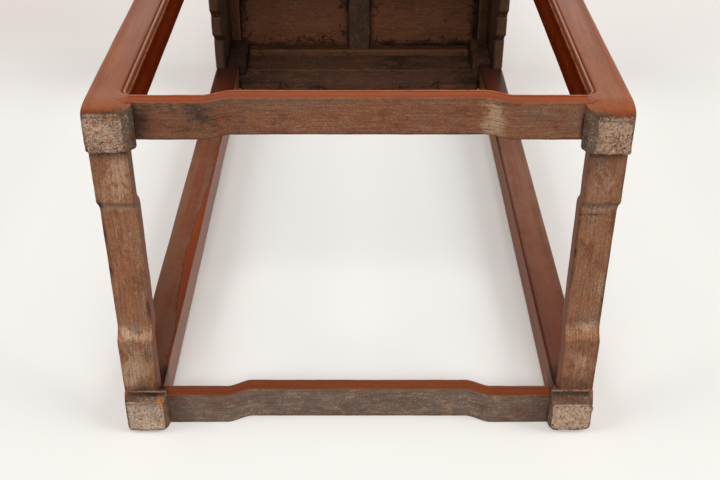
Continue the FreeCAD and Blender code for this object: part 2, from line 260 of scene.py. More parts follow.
def at_side(side):
    """Movement of a piece that is drawn at the front to its own side."""
    def moved(points):
        x, y, z = points.T
        turned = {"front": (x, y), "back": (x, -y), "left": (y, -x), "right": (-y, -x)}[side]
        return np.column_stack((*turned, z))
    return moved


def at_corner(way_x, way_y):
    """Movement of a leg that is drawn by its distances from the outer faces."""
    def moved(points):
        u, v, z = points.T
        return np.column_stack((way_x * (HALF_X - u), way_y * (HALF_Y - v), z))
    return moved


# Short ways to add nodes to a tree


def srgb(red, green, blue):
    """Linear colour of an ordinary colour from 0 to 255."""
    parts = [part / 255 for part in (red, green, blue)]
    linear = [part / 12.92 if part <= 0.04045 else ((part + 0.055) / 1.055) ** 2.4 for part in parts]
    return (*linear, 1.0)


def add(tree, kind, inputs=None, **settings):
    """New node with its settings, and its inputs set or linked."""
    node = tree.nodes.new(kind)
    for key, value in settings.items():
        setattr(node, key, value)
    for key, value in (inputs or {}).items():
        if isinstance(value, bpy.types.NodeSocket):
            tree.links.new(value, node.inputs[key])
        else:
            node.inputs[key].default_value = value
    return node


def maths(tree, operation, first, second=0.0):
    """Result of one sum with one or two values."""
    return add(tree, "ShaderNodeMath", {0: first, 1: second}, operation=operation).outputs[0]


def times(tree, first, second):
    """Product of two node values."""
    return maths(tree, "MULTIPLY", first, second)


def plus(tree, first, second):
    """Sum of two node values."""
    return maths(tree, "ADD", first, second)


def minus(tree, first, second):
    """Difference of two node values."""
    return maths(tree, "SUBTRACT", first, second)


def ramp(tree, value, low, high):
    """Smooth step of a value between two limits."""
    inputs = {"Value": value, "From Min": low, "From Max": high}
    node = add(tree, "ShaderNodeMapRange", inputs, interpolation_type="SMOOTHSTEP")
    return node.outputs["Result"]


def mixed(tree, share, first, second):
    """Colour between two colours."""
    node = add(tree, "ShaderNodeMix", {0: share, 6: first, 7: second}, data_type="RGBA")
    return node.outputs[2]


def streaks(tree, vector, along, across, detail, roughness=0.5, distortion=0.0):
    """Noise that is drawn out along the grain, with its features per metre each way."""
    inputs = {0: vector, 1: (along, across, across)}
    stretched = add(tree, "ShaderNodeVectorMath", inputs, operation="MULTIPLY")
    inputs = {
        "Vector": stretched.outputs[0], "Scale": 1.0, "Detail": detail,
        "Roughness": roughness, "Distortion": distortion,
    }
    return add(tree, "ShaderNodeTexNoise", inputs).outputs[0]


def wander(tree, vector, scale, amount):
    """Small wandering shift, for lines that aren't straight."""
    inputs = {"Vector": vector, "Scale": scale, "Detail": 3.0}
    colour = add(tree, "ShaderNodeTexNoise", inputs).outputs["Color"]
    inputs = {0: colour, 1: (0.5, 0.5, 0.5)}
    middle = add(tree, "ShaderNodeVectorMath", inputs, operation="SUBTRACT").outputs[0]
    return add(tree, "ShaderNodeVectorMath", {0: middle, "Scale": amount}, operation="SCALE").outputs[0]


def centred(tree, value):
    """Noise about zero."""
    return minus(tree, value, 0.5)


def spread(tree, value, *shares):
    """Value with shares of other values added, so that its border is ragged."""
    for other, share in shares:
        value = plus(tree, value, times(tree, other, share))
    return value


def layered(tree, colour, cover, value, low, high, strength=1.0):
    """Colour under a cover that comes in where a value passes from low to high."""
    return mixed(tree, times(tree, ramp(tree, value, low, high), strength), colour, cover)


# Aged wood: a shader group with its noises and layers

BODY_ROUGHNESS = 0.45
DULL_ROUGHNESS = 0.3
POLISH_ROUGHNESS = 0.28
BUMP_STRENGTH = 0.6
PALE_FLECK = srgb(244, 224, 198)
CRAZE_SCALE = 34.0
CRAZE_WANDER = (70, 0.03)
WOOD_COLOURS = (
    "Polished", "Figure", "Deep", "Skin", "Bare", "Pale", "Ash", "Worn_and_highlight", "Grime", "Flush", "End", "Stain",
)
# Noises: features per metre along and across the grain, detail, roughness and distortion
NOISES = {
    "figure": (4, 110, 4, 0.5, 0.6),
    "grain_line": (7, 210, 6, 0.62, 1.2),
    "fine": (26, 1000, 4, 0.6, 0.0),
    "pore": (90, 1800, 1, 0.5, 0.0),
    "fibre": (45, 480, 5, 0.65, 0.5),
    "mottle": (34, 52, 8, 0.66, 0.3),
    "smear": (170, 260, 6, 0.64, 0.6),
    "clump": (120, 120, 6, 0.7, 0.4),
    "dot": (500, 700, 4, 0.6, 0.0),
    "speckle": (900, 900, 3, 0.6, 0.0),
    "sand": (620, 620, 4, 0.7, 0.0),
    "crumb": (430, 430, 6, 0.75, 0.0),
    "pit": (420, 420, 3, 0.5, 0.0),
}
# Layers: colour, value that says where it comes in, shares of other values in that, limits and strength
POLISH_LAYERS = (
    ("Figure", "figure", {}, 0.36, 0.72, 0.7),
    ("Figure", "fine", {}, 0.45, 0.75, 0.35),
    ("Grime", "grain_line", {}, 0.48, 0.7, 0.26),
    ("Grime", "pore", {}, 0.6, 0.72, 0.25),
    ("Figure", "mottle", {"smear": 0.5}, -0.02, 0.25, 0.5),
)
BARE_LAYERS = (
    ("Skin", "mottle", {"smear": 0.8}, 0.0, -0.2, 0.4),
    ("Pale", "mottle", {"smear": 0.9, "grit": 0.5}, -0.1, 0.26, 0.34),
    ("Pale", "pale", {"mottle": 2.4, "smear": 2.2, "grit": 1.2}, 0.2, 0.95, 1.0),
    ("Pale", "speckle", {"smear": 0.6}, 0.56, 0.68, 0.7),
    ("Grime", "dot", {"mottle": 0.5}, 0.54, 0.66, 0.4),
    ("Grime", "fine", {"smear": 0.5}, 0.42, 0.72, 0.42),
    ("Grime", "fibre", {"smear": 0.5}, 0.5, 0.66, 0.24),
    ("Grime", "mottle", {"smear": 0.6}, 0.0, -0.26, 0.4),
)
END_LAYERS = (
    ("Ash", "clump", {}, -0.01, -0.18, 0.45),
    ("Flush", "clump", {}, 0.03, 0.2, 0.45),
    ("Figure", "sand", {"clump": 0.4}, 0.5, 0.62, 0.6),
    ("Fleck", "speckle", {"smear": 0.6}, 0.56, 0.66, 0.75),
    ("Grime", "pit", {"smear": 0.6}, 0.63, 0.72, 0.8),
)


def new_group(name, inputs, outputs):
    """Empty shader group with named sockets, and the sockets inside it."""
    tree = bpy.data.node_groups.new(name, "ShaderNodeTree")
    for way, sockets in (("INPUT", inputs), ("OUTPUT", outputs)):
        for title, kind in sockets:
            tree.interface.new_socket(title, in_out=way, socket_type="NodeSocket" + kind)
    source = tree.nodes.new("NodeGroupInput")
    result = tree.nodes.new("NodeGroupOutput")
    return tree, source.outputs, result.inputs


def wood_values(tree, given):
    """Noises and marks that the layers of the wood share."""
    wood = SimpleNamespace(**{mark: given[mark] for mark in MARKS})
    for name, kind in NOISES.items():
        setattr(wood, name, streaks(tree, given["Grain"], *kind))
    wood.mottle = centred(tree, wood.mottle)
    wood.smear = centred(tree, wood.smear)
    wood.clump = centred(tree, wood.clump)
    wood.grit = centred(tree, wood.speckle)
    wood.pores = ramp(tree, wood.pore, 0.6, 0.72)
    wood.crumbs = ramp(tree, spread(tree, wood.crumb, (wood.mottle, 0.8), (wood.smear, 0.9)), 0.36, 0.66)
    wood.pits = ramp(tree, spread(tree, wood.pit, (wood.smear, 0.6)), 0.63, 0.72)
    return wood


def covered(tree, given, wood, colour, layers):
    """Colour under several layers."""
    values = vars(wood)
    for title, name, shares, low, high, strength in layers:
        cover = PALE_FLECK if title == "Fleck" else given[title]
        value = spread(tree, values[name], *((values[other], share) for other, share in shares.items()))
        colour = layered(tree, colour, cover, value, low, high, strength)
    return colour


def polished_colour(tree, given, wood, warmth):
    """Polish with figure, grain lines, pores and clouds, brown skin, dark red places that are partly
    painted shade, and redder places.
    """
    colour = covered(tree, given, wood, given["Polished"], POLISH_LAYERS)
    patches = spread(tree, wood.figure, (wood.mottle, 0.9), (wood.smear, 0.3))
    skin = layered(tree, given["Skin"], given["Figure"], patches, 0.4, 0.7, 0.6)
    colour = mixed(tree, wood.skin, colour, skin)
    colour = mixed(tree, wood.deep, colour, given["Deep"])
    return mixed(tree, warmth, colour, given["Flush"])


def bare_colour(tree, given, wood, warmth):
    """Unpolished wood: ashen, dusty and pale places, some of them painted light, with dark dots, lines and
    fibres.
    """
    ashing = spread(tree, wood.ash, (wood.mottle, 2.2), (wood.smear, 1.2))
    colour = layered(tree, given["Bare"], given["Ash"], ashing, 0.1, 1.0)
    colour = mixed(tree, times(tree, warmth, 0.5), colour, given["Flush"])
    return covered(tree, given, wood, colour, BARE_LAYERS)


def flaked_rubbed_and_highlighted(tree, given, wood, colour):
    """Colour with its flaked strip, which has a dark border, and its rubbed arrises, which also carry
    painted highlights.
    """
    flaking = spread(tree, wood.flush, (wood.mottle, 1.2), (wood.smear, 0.7))
    stripped = layered(tree, given["Flush"], given["Figure"], wood.figure, 0.36, 0.6, 0.3)
    colour = layered(tree, colour, given["Grime"], flaking, 0.26, 0.4, 0.4)
    colour = layered(tree, colour, stripped, flaking, 0.38, 0.6, 0.85)
    patchy = ramp(tree, spread(tree, wood.mottle, (wood.smear, 0.8)), -0.3, 0.15)
    return mixed(tree, times(tree, wood.rub, patchy), colour, given["Worn_and_highlight"])


def cut_end_colour(tree, given, wood):
    """Crumbling end grain with clumps, sand, pale flecks and pits, lightened on some soles as painted
    light.
    """
    colour = mixed(tree, times(tree, wood.crumbs, 0.9), given["End"], given["Bare"])
    paleness = maths(tree, "MAXIMUM", wood.pale, 0.0)
    colour = mixed(tree, times(tree, paleness, 0.4), colour, PALE_FLECK)
    return covered(tree, given, wood, colour, END_LAYERS)


def crazing(tree, given, wood):
    """Net of fine cracks in old lacquer."""
    inputs = {0: given["Grain"], 1: wander(tree, given["Grain"], *CRAZE_WANDER)}
    drift = add(tree, "ShaderNodeVectorMath", inputs, operation="ADD")
    inputs = {"Vector": drift.outputs[0], "Scale": CRAZE_SCALE}
    cells = add(tree, "ShaderNodeTexVoronoi", inputs, feature="DISTANCE_TO_EDGE").outputs["Distance"]
    share = ramp(tree, spread(tree, wood.craze, (wood.mottle, 1.6)), 0.4, 0.7)
    return times(tree, share, ramp(tree, cells, 0.06, 0.01))


def aged_wood_group():
    """Close-grained red hardwood with polish, bare places, rubbed arrises with painted highlights, grime
    with painted shade, further painted shade and end grain.
    """
    inputs = [("Grain", "Vector")]
    inputs += [(title, "Color") for title in WOOD_COLOURS]
    inputs += [(mark, "Float") for mark in MARKS]
    outputs = [("Color", "Color"), ("Roughness", "Float"), ("Coat", "Float"), ("Height", "Float")]
    tree, given, result = new_group("aged_wood", inputs, outputs)
    wood = wood_values(tree, given)

    warmth = times(tree, wood.warm, ramp(tree, wood.mottle, -0.3, 0.15))
    polished = polished_colour(tree, given, wood, warmth)
    bare = bare_colour(tree, given, wood, warmth)
    bareness = ramp(tree, spread(tree, wood.bare, (wood.mottle, 1.6), (wood.grit, 0.5)), 0.3, 0.7)
    colour = flaked_rubbed_and_highlighted(tree, given, wood, mixed(tree, bareness, polished, bare))
    ended = spread(tree, wood.end, (wood.grit, 0.8), (wood.mottle, 1.0), (wood.smear, 0.9))
    ended = ramp(tree, ended, 0.35, 0.65)
    colour = mixed(tree, ended, colour, cut_end_colour(tree, given, wood))
    stained = spread(tree, wood.stain, (wood.smear, 2.4), (wood.grit, 2.4), (wood.clump, 1.5))
    colour = layered(tree, colour, given["Stain"], stained, 0.4, 1.0, 0.65)
    crazed = crazing(tree, given, wood)
    # Grime, which also carries painted shade in recesses and gaps
    dirt_and_shade_share = spread(tree, wood.grime, (wood.mottle, 1.5), (wood.smear, 0.9))
    dirt_and_shade_share = times(tree, ramp(tree, dirt_and_shade_share, 0.25, 1.0), 0.92)
    dirt_and_shade_share = maths(tree, "MAXIMUM", dirt_and_shade_share, times(tree, crazed, 0.8))
    colour = mixed(tree, dirt_and_shade_share, colour, given["Grime"])
    # Painted shade darkens the colour smoothly
    colour = mixed(tree, wood.shade, colour, given["Grime"])
    tree.links.new(colour, result["Color"])

    dull = maths(tree, "MAXIMUM", maths(tree, "MAXIMUM", bareness, ended), dirt_and_shade_share)
    gloss = times(tree, wood.sheen, minus(tree, 1.0, dull))
    tree.links.new(gloss, result["Coat"])
    rough = plus(tree, times(tree, dull, DULL_ROUGHNESS), BODY_ROUGHNESS)
    tree.links.new(spread(tree, rough, (centred(tree, wood.fine), 0.16)), result["Roughness"])

    relief = times(tree, wood.fine, plus(tree, times(tree, bareness, 0.8), 0.12))
    worn_relief = times(tree, spread(tree, wood.smear, (wood.grit, 0.6)), bareness)
    relief = spread(tree, relief, (wood.pores, -0.25), (crazed, -0.8), (worn_relief, 1.5))
    ends = times(tree, spread(tree, wood.grit, (wood.pits, -1.0), (wood.crumbs, -0.6)), ended)
    tree.links.new(spread(tree, relief, (ends, 1.6)), result["Height"])
    return tree


AGED_WOOD = aged_wood_group()


def wood_material(slot, relief, **colours):
    """Finish of one material slot: the aged wood with this piece's own colours."""
    material = bpy.data.materials.new(slot + "_aged")
    material.use_nodes = True
    tree = material.node_tree
    shader = tree.nodes["Principled BSDF"]
    group = add(tree, "ShaderNodeGroup", node_tree=AGED_WOOD)
    grain = add(tree, "ShaderNodeAttribute", attribute_name="grain")
    tree.links.new(grain.outputs["Vector"], group.inputs["Grain"])
    for mark in MARKS:
        attribute = add(tree, "ShaderNodeAttribute", attribute_name=mark)
        tree.links.new(attribute.outputs["Fac"], group.inputs[mark])
    for title, colour in colours.items():
        group.inputs[title].default_value = srgb(*colour)
    shader.inputs["Specular IOR Level"].default_value = 0.0
    shader.inputs["Coat Roughness"].default_value = POLISH_ROUGHNESS
    inputs = {"Height": group.outputs["Height"], "Strength": BUMP_STRENGTH, "Distance": relief}
    bump = add(tree, "ShaderNodeBump", inputs)
    tree.links.new(bump.outputs["Normal"], shader.inputs["Normal"])
    for title, socket in (("Color", "Base Color"), ("Roughness", "Roughness"), ("Coat", "Coat Weight")):
        tree.links.new(group.outputs[title], shader.inputs[socket])
    return material


# Dark colour for grime and painted shade
DIRT_AND_SHADE = (46, 34, 28)
SHARED_COLOURS = {
    "Polished": (160, 92, 56),
    "Figure": (116, 62, 40),
    "Deep": (96, 30, 8),
    "Skin": (142, 97, 75),
    # Colour of rubbed arrises and of painted highlights
    "Worn_and_highlight": (206, 146, 108),
    "Flush": (174, 74, 34),
    "End": (208, 170, 142),
    "Ash": (122, 107, 98),
    "Stain": (206, 132, 72),
}
# Each wood's relief in millimetres, then its bare and pale colours and its dark colour for grime and
# painted shade
OWN_FINISH = {
    "leg_wood": (0.4, (128, 96, 74), (176, 144, 116), (36, 27, 22)),
    "stretcher_wood": (0.5, (166, 112, 82), (204, 164, 132), (56, 42, 34)),
    "apron_wood": (0.5, (84, 54, 40), (116, 92, 76), DIRT_AND_SHADE),
    "waist_wood": (0.5, (76, 50, 38), (104, 76, 58), DIRT_AND_SHADE),
    "rail_wood": (0.5, (98, 62, 40), (120, 78, 50), DIRT_AND_SHADE),
    "panel_wood": (0.5, (100, 62, 44), (122, 82, 58), (26, 18, 14)),
    "brace_wood": (0.5, (66, 48, 42), (84, 62, 50), DIRT_AND_SHADE),
}
WOODS = {}
for slot, (relief, bare, pale, grime) in OWN_FINISH.items():
    WOODS[slot] = wood_material(slot, relief * MM, Bare=bare, Pale=pale, Grime=grime, **SHARED_COLOURS)


# Lengths of timber that follow a section, a mitre and a step

WAVE_SCALE = 38.0
STEPPED_UNEVENNESS = 0.9
PLAIN_UNEVENNESS = 0.3
NO_STEP = (1.0, 0.0, 0.0)


def shaped_length_tree():
    """Section carried along a straight run, cut to a mitre and lifted in the middle by two steps."""
    tree = bpy.data.node_groups.new("shaped_length", "GeometryNodeTree")
    sockets = (
        ("Geometry", "Geometry"), ("Half run", "Float"), ("Set out", "Float"), ("Mitre", "Float"),
        ("Stations", "Int"), ("Step start", "Float"), ("Step run", "Float"), ("Step rise", "Float"),
        ("Step shift", "Float"), ("Crispness", "Float"), ("Unevenness", "Float"), ("Seed", "Int"),
        ("Material", "Material"),
    )
    for title, kind in sockets:
        tree.interface.new_socket(title, in_out="INPUT", socket_type="NodeSocket" + kind)
    tree.interface.new_socket("Geometry", in_out="OUTPUT", socket_type="NodeSocketGeometry")
    given = tree.nodes.new("NodeGroupInput").outputs
    result = tree.nodes.new("NodeGroupOutput").inputs
    size = add(tree, "GeometryNodeAttributeDomainSize", {"Geometry": given["Geometry"]})
    count = size.outputs["Point Count"]
    around = plus(tree, count, 1.0)
    inputs = {"Vertices X": given["Stations"], "Vertices Y": around}
    grid = add(tree, "GeometryNodeMeshGrid", inputs).outputs["Mesh"]
    index = add(tree, "GeometryNodeInputIndex").outputs[0]
    position = add(tree, "GeometryNodeInputPosition").outputs[0]

    turn = maths(tree, "DIVIDE", plus(tree, index, 0.5), around)
    station = maths(tree, "FLOOR", turn)
    spot = minus(tree, index, times(tree, station, around))
    spot = plus(tree, maths(tree, "MODULO", spot, count), 0.25)
    inputs = {"Geometry": given["Geometry"], "Value": position, "Index": spot}
    section = add(tree, "GeometryNodeSampleIndex", inputs, data_type="FLOAT_VECTOR").outputs["Value"]
    apart = add(tree, "ShaderNodeSeparateXYZ", {0: section}).outputs

    last = minus(tree, given["Stations"], 1.0)
    share = minus(tree, times(tree, maths(tree, "DIVIDE", station, last), 2.0), 1.0)
    depth = times(tree, plus(tree, apart["Y"], given["Set out"]), given["Mitre"])
    x = times(tree, share, minus(tree, given["Half run"], depth))

    foot = minus(tree, given["Half run"], given["Step start"])
    head = minus(tree, foot, given["Step run"])
    run = maths(tree, "ABSOLUTE", minus(tree, x, given["Step shift"]))
    eased = ramp(tree, run, foot, head)
    inputs = {"Value": run, "From Min": foot, "From Max": head, "To Min": 1.0, "To Max": 0.0}
    left_over = add(tree, "ShaderNodeMapRange", inputs).outputs["Result"]
    crisp = minus(tree, 1.0, times(tree, left_over, left_over))
    sharper = times(tree, minus(tree, crisp, eased), given["Crispness"])
    climb = plus(tree, eased, sharper)
    z = plus(tree, apart["Z"], times(tree, climb, given["Step rise"]))
    place = add(tree, "ShaderNodeCombineXYZ", {"X": x, "Y": apart["Y"], "Z": z}).outputs[0]
    shaped = add(tree, "GeometryNodeSetPosition", {"Geometry": grid, "Position": place}).outputs[0]
    closed = add(tree, "GeometryNodeMergeByDistance", {"Geometry": shaped, "Distance": 1e-6}).outputs[0]

    normal = add(tree, "GeometryNodeInputNormal").outputs[0]
    inputs = {"Vector": position, "W": given["Seed"], "Scale": WAVE_SCALE, "Detail": 2.0}
    wave = add(tree, "ShaderNodeTexNoise", inputs, noise_dimensions="4D").outputs[0]
    push = times(tree, minus(tree, wave, 0.5), given["Unevenness"])
    offset = add(tree, "ShaderNodeVectorMath", {0: normal, "Scale": push}, operation="SCALE").outputs[0]
    worn = add(tree, "GeometryNodeSetPosition", {"Geometry": closed, "Offset": offset}).outputs[0]
    real = add(tree, "GeometryNodeRealizeInstances", {"Geometry": worn}).outputs[0]
    inputs = {"Geometry": real, "Material": given["Material"]}
    tree.links.new(add(tree, "GeometryNodeSetMaterial", inputs).outputs[0], result["Geometry"])
    return tree


SHAPED_LENGTH = shaped_length_tree()


def shaped_length(name, section, slot, spacing, seed, half_run, set_out, mitre=0.0, rise=0.0, step=NO_STEP):
    """Points and faces of a length of timber with its section in depth and height, drawn at the front.

    A step is given by its run, the shift of both steps to the right and its crispness.
    """
    count = len(section)
    base = bpy.data.meshes.new(name + "_section")
    corners = [(0.0, (depth - set_out) * MM, height * MM) for depth, height in section]
    base.from_pydata(corners, [(k, (k + 1) % count) for k in range(count)], [])
    maker = bpy.data.objects.new(name + "_section", base)
    scene.collection.objects.link(maker)
    modifier = maker.modifiers.new("shaped_length", "NODES")
    modifier.node_group = SHAPED_LENGTH
    step_run, shift, crispness = step
    settings = {
        "Half run": half_run * MM, "Set out": set_out * MM, "Mitre": mitre, "Seed": seed,
        "Stations": 2 * round(half_run / spacing) + 1, "Step start": STEP_START * MM,
        "Step run": step_run * MM, "Step rise": rise * MM, "Step shift": shift * MM,
        "Crispness": crispness, "Material": WOODS[slot],
        "Unevenness": (STEPPED_UNEVENNESS if rise else PLAIN_UNEVENNESS) * MM,
    }
    for item in SHAPED_LENGTH.interface.items_tree:
        if item.in_out == "INPUT" and item.name in settings:
            modifier[item.identifier] = settings[item.name]
    drawn = maker.evaluated_get(bpy.context.evaluated_depsgraph_get())
    mesh = bpy.data.meshes.new_from_object(drawn)
    maker.modifiers.remove(modifier)
    bpy.data.objects.remove(maker)
    bpy.data.meshes.remove(base)
    work = bmesh.new()
    work.from_mesh(mesh)
    bmesh.ops.holes_fill(work, edges=[edge for edge in work.edges if edge.is_boundary])
    work.to_mesh(mesh)
    work.free()
    points = np.empty(len(mesh.vertices) * 3)
    mesh.vertices.foreach_get("co", points)
    faces = [list(face.vertices) for face in mesh.polygons]
    bpy.data.meshes.remove(mesh)
    return {"points": points.reshape(-1, 3) / MM, "faces": faces}


def marked(part, grain, **marks):
    """Add grain coordinates and surface marks to a made length."""
    part["grain"] = grain
    for mark in MARKS:
        part[mark] = np.broadcast_to(marks.get(mark, 0.0), (len(part["points"]),))


def four_sides(half_x, half_y):
    """Half run of each side of a rectangle and its distance from the middle."""
    long_side, short_side = (half_x, half_y), (half_y, half_x)
    return {"front": long_side, "back": long_side, "left": short_side, "right": short_side}


SIDES = four_sides(HALF_X, HALF_Y)
TOP_SIDES = four_sides(TOP_X, TOP_Y)


# Legs

MID_LEG = 400.0
INNER_RADIUS = 1.3
# Runs of a leg's outline that cross a riser or a ledge, and their parts
LEDGE_RUNS = (4, 5, 8, 9)
LEDGE_PARTS = 3
# Heights of a leg's outlines: closest at the sole, then at the foot's curve and along the stretchers
LEG_STATIONS = np.unique(np.concatenate((
    (0.0, 0.2, 0.5, 0.9, 1.4, 2.0, 2.8, 3.8, 5.0, 6.2, 7.5, 9.0),
    np.arange(10.2, 29.0, 1.15),
    np.arange(29.3, 39.6, 0.5),
    np.linspace(40.5, APRON_BOTTOM, 90),
    np.linspace(741.5, 776.0, 24),
)))
SOLE_RINGS = (0.03, 0.16, 0.3, 0.44, 0.58, 0.7, 0.8, 0.88, 0.94, 0.98)
BLOCK_RINGS = (0.05, 0.35, 0.62, 0.84, 0.95)

# Unevenness of a leg and of its end grain, coarse and fine: amount and pitch
LEG_UNEVENNESS = (0.22, 55.0)
END_COARSE = (1.2, 9.0)
END_FINE = (0.6, 2.8)

# Heights between which marks of a back leg come in or fade; the crown's darkening and the top shadow are
# painted shadow below the frame
SHIN_FADE = (110, 380)
CROWN_RISE = (430, 660)
TOP_SHADOW = (620, 750)
JOINT_FADE = (44, 66)
STRIP_START = (15, 60)
STRIP_END = (600, 720)

# Legs: way to the right and to the back, loss of brown skin, redness of the foot and painted shade of the
# block
LEGS = {
    "leg_front_left": (-1, -1, 0.0, 0.24, 0.9),
    "leg_front_right": (1, -1, 0.0, 0.4, 0.9),
    "leg_back_left": (-1, 1, 0.8, 0.35, 0.82),
    "leg_back_right": (1, 1, 0.0, 0.35, 0.55),
}
# Bareness and painted shade of the leg's core behind the aprons
CORE_BARE, CORE_SHADE = 0.15, 0.8


def bead_inset(z):
    """Distance of the bead from the inner edge; above a stretcher it turns into that piece's top edge."""
    turn = np.clip((BAR_BOTTOM + BAR_HEIGHT + BEAD_TURN - z) / BEAD_TURN, 0, 1)
    return np.maximum(BEAD_INSET - BEAD_TURN * (1 - np.sqrt(1 - turn * turn)), 0.0)


def lipped_face(bead, ledge, fade):
    """Corners of an outer leg face from the corner inwards: flat, hollow, bead, riser and ledge."""
    crest = bead - BEAD_WIDTH
    return [
        (crest - HOLLOW_WIDTH, 0.0, 2.5),
        (crest - 1.0, HOLLOW_DEPTH * fade, 1.0),
        (crest, -BEAD_PROUD * fade, 0.35),
        (bead, -BEAD_PROUD * fade, 0.35),
        (min(bead + RISER_RUN, LEG_SIZE - 0.2), ledge, 0.3),
        (LEG_SIZE, ledge, 0.8),
    ]


def leg_corners(z):
    """Corners of a leg's outline at a height, by their distances from the two outer faces."""
    inset = float(bead_inset(z))
    fade = float(smooth(inset, 0.1, 1.5))
    face = lipped_face(LEG_SIZE - inset, LEDGE_DEPTH * fade, fade)
    corners = [(0.0, 0.0, CORNER_RADIUS)] + face + [(LEG_SIZE, LEG_SIZE, INNER_RADIUS)]
    return corners + [(v, u, radius) for u, v, radius in reversed(face)]


def leg_divisions():
    """Parts of each run of a leg's outline, the same at every height."""
    counts = divisions(leg_corners(MID_LEG), 3.0)
    for run in LEDGE_RUNS:
        counts[run] = LEDGE_PARTS
    return counts


def foot_rings(flat, heights, foot):
    """Leg outlines pushed out to the foot's knee and drawn in again to its rounded, worn sole."""
    curve = np.clip(1 - heights / CURVE_RISE, 0, 1) ** 2.2
    drop = np.clip(1 - heights / SOLE_RISE, 0, 1)
    rounding = 0.5 * curve + 0.5 * (1 - np.sqrt(1 - drop ** 2))
    climb = np.sin(np.clip(heights / BAR_BOTTOM, 0, 1) * math.pi / 2)
    swelling = 1 - smooth(heights, BAR_BOTTOM, BAR_BOTTOM + BAR_HEIGHT - 1)
    rings = np.empty(flat.shape[:2] + (3,))
    for axis, (inset, sole, knee) in enumerate(foot[:2]):
        start = inset * rounding
        end = LEG_SIZE + (sole + (knee - sole) * climb - LEG_SIZE) * swelling - INNER_WEAR * rounding ** 2
        rings[..., axis] = start + flat[..., axis] * (end - start) / LEG_SIZE
    rings[..., 2] = heights
    plan = rings[..., :2]
    low = plan.min(axis=1, keepdims=True)
    high = plan.max(axis=1, keepdims=True)
    middle = (low + high) / 2
    share = np.abs(plan - middle) / (high - middle)
    corner = np.maximum(np.power((share ** foot[2]).sum(axis=-1, keepdims=True), 1 / foot[2]), 1.0)
    worn = 1 - smooth(heights, 0, SOLE_WEAR)[..., None]
    rings[..., :2] = middle + (plan - middle) * (1 + worn * (1 / corner - 1))
    return rings


def shoulder_seam(along, z):
    """1 on the joint line of a stretcher's pointed shoulder, seen on an outer leg face."""
    middle = BAR_BOTTOM + BAR_HEIGHT / 2
    edge = LEG_SIZE - BAR_HEIGHT / 2 + np.abs(z - middle)
    inside = np.abs(z - middle) < BAR_HEIGHT / 2 + 0.6
    return np.where(inside, near(along, edge, 1.4), 0.0)


def at_inner(distance):
    """1 on an inner face of a leg, by the distance from the outer face opposite."""
    return smooth(distance, LEG_SIZE - 0.7, LEG_SIZE - 0.2)


def leg_marks(flat, heights, back, strip, glow):
    """Surface marks of a leg.

    Strip says how far its inner face has lost its brown skin, and glow how red its foot is.
    """
    u, v = flat[..., 0], flat[..., 1]
    across, depth = np.maximum(u, v), np.minimum(u, v)
    inset = bead_inset(heights)
    bead = LEG_SIZE - inset
    lipped = smooth(inset, 0.2, 1.5)
    outer = 1 - smooth(depth, LEDGE_DEPTH, LEDGE_DEPTH + 0.6)
    inner = at_inner(across) * (1 - outer)
    ledge = outer * lipped * smooth(across, bead + 0.7 * RISER_RUN, bead + RISER_RUN + 0.2)
    crest = outer * lipped * near(across, bead - BEAD_WIDTH / 2, 0.9) * (depth < 0.1)
    riser = outer * lipped * near(across, bead + RISER_RUN / 2, 0.8 * RISER_RUN)
    hollow = outer * lipped * near(across, bead - BEAD_WIDTH - 1.2, 2.4) * (depth > 0.05)
    arris = near(across, LEG_SIZE, 1.1) * near(depth, LEDGE_DEPTH, 1.2) * lipped
    arris += near(u, LEG_SIZE, 1.2) * near(v, LEG_SIZE, 1.2)
    corner = near(u, 0, 2.2) * near(v, 0, 2.2)
    face = 1 - smooth(depth, 0.3, 0.6)
    seam = face * shoulder_seam(across, heights)
    rim = 1.2 + 7 * smooth(across, 14, LEG_SIZE) * (1 - inner)
    heel = (1 - smooth(heights, BAR_BOTTOM - 1, BAR_BOTTOM + 1)) * inner
    soiled = heel * smooth(heights, 3, 9) * (1 - smooth(heights, BAR_BOTTOM - 3, BAR_BOTTOM - 1.5))
    facet = 0.0 if back else heel * at_inner(u)
    blend = -1.6 if back else 5.0 - 5.4 * facet
    foot_dirt = (0.75 if back else 0.45) * soiled + 0.4 * outer * near(heights, 2.5, 6.0)
    foot_shade = 0.5 * outer * near(heights, 1.5, 8.0) + 0.14 * soiled + 0.14 * facet
    # Painted highlight on the upper foot
    foot_highlight = face * smooth(heights, 6, 14) * (1 - smooth(heights, 30, 50))
    foot_glow = glow * (1 - smooth(heights, 4, 50))
    edge_glow = 0.2 * (1 - smooth(across, 2, 9))
    # Painted shade darkens the riser and the hollow beside the bead; painted highlights light the bead's
    # crest and the arrises, which are also worn
    marks = {
        "bare": heel + 1.1 * (1 - smooth(heights, 0.4 * rim, 1.8 * rim)),
        "rub": np.clip(0.6 * crest + 0.6 * arris * smooth(heights, 12, 40), 0, 1) + 0.14 * foot_highlight,
        "grime": 0.25 * riser + 0.2 * hollow + 0.06 * seam + 0.3 * corner + foot_dirt,
        "end": 1 - smooth(heights, 0.0, 3.2 + blend * inner) + 0.34 * heel * smooth(heights, 2, 6),
        "warm": np.maximum(face * np.maximum(foot_glow, edge_glow), 0.22 * inner * near(depth, 16, 12)),
        "deep": inner + 0.7 * ledge + 0.8 * hollow,
        "ash": 0.7 * heel,
        "pale": 0.4 * heel - 0.2,
        "sheen": 0.85 * face * (1 - hollow) * (0.55 + 0.45 * smooth(across, 3, 12)),
        "shade": 0.6 * riser + 0.3 * corner + foot_shade,
    }
    if back:
        add_back_leg_marks(marks, u, v, heights, inner, heel, strip)
    return marks


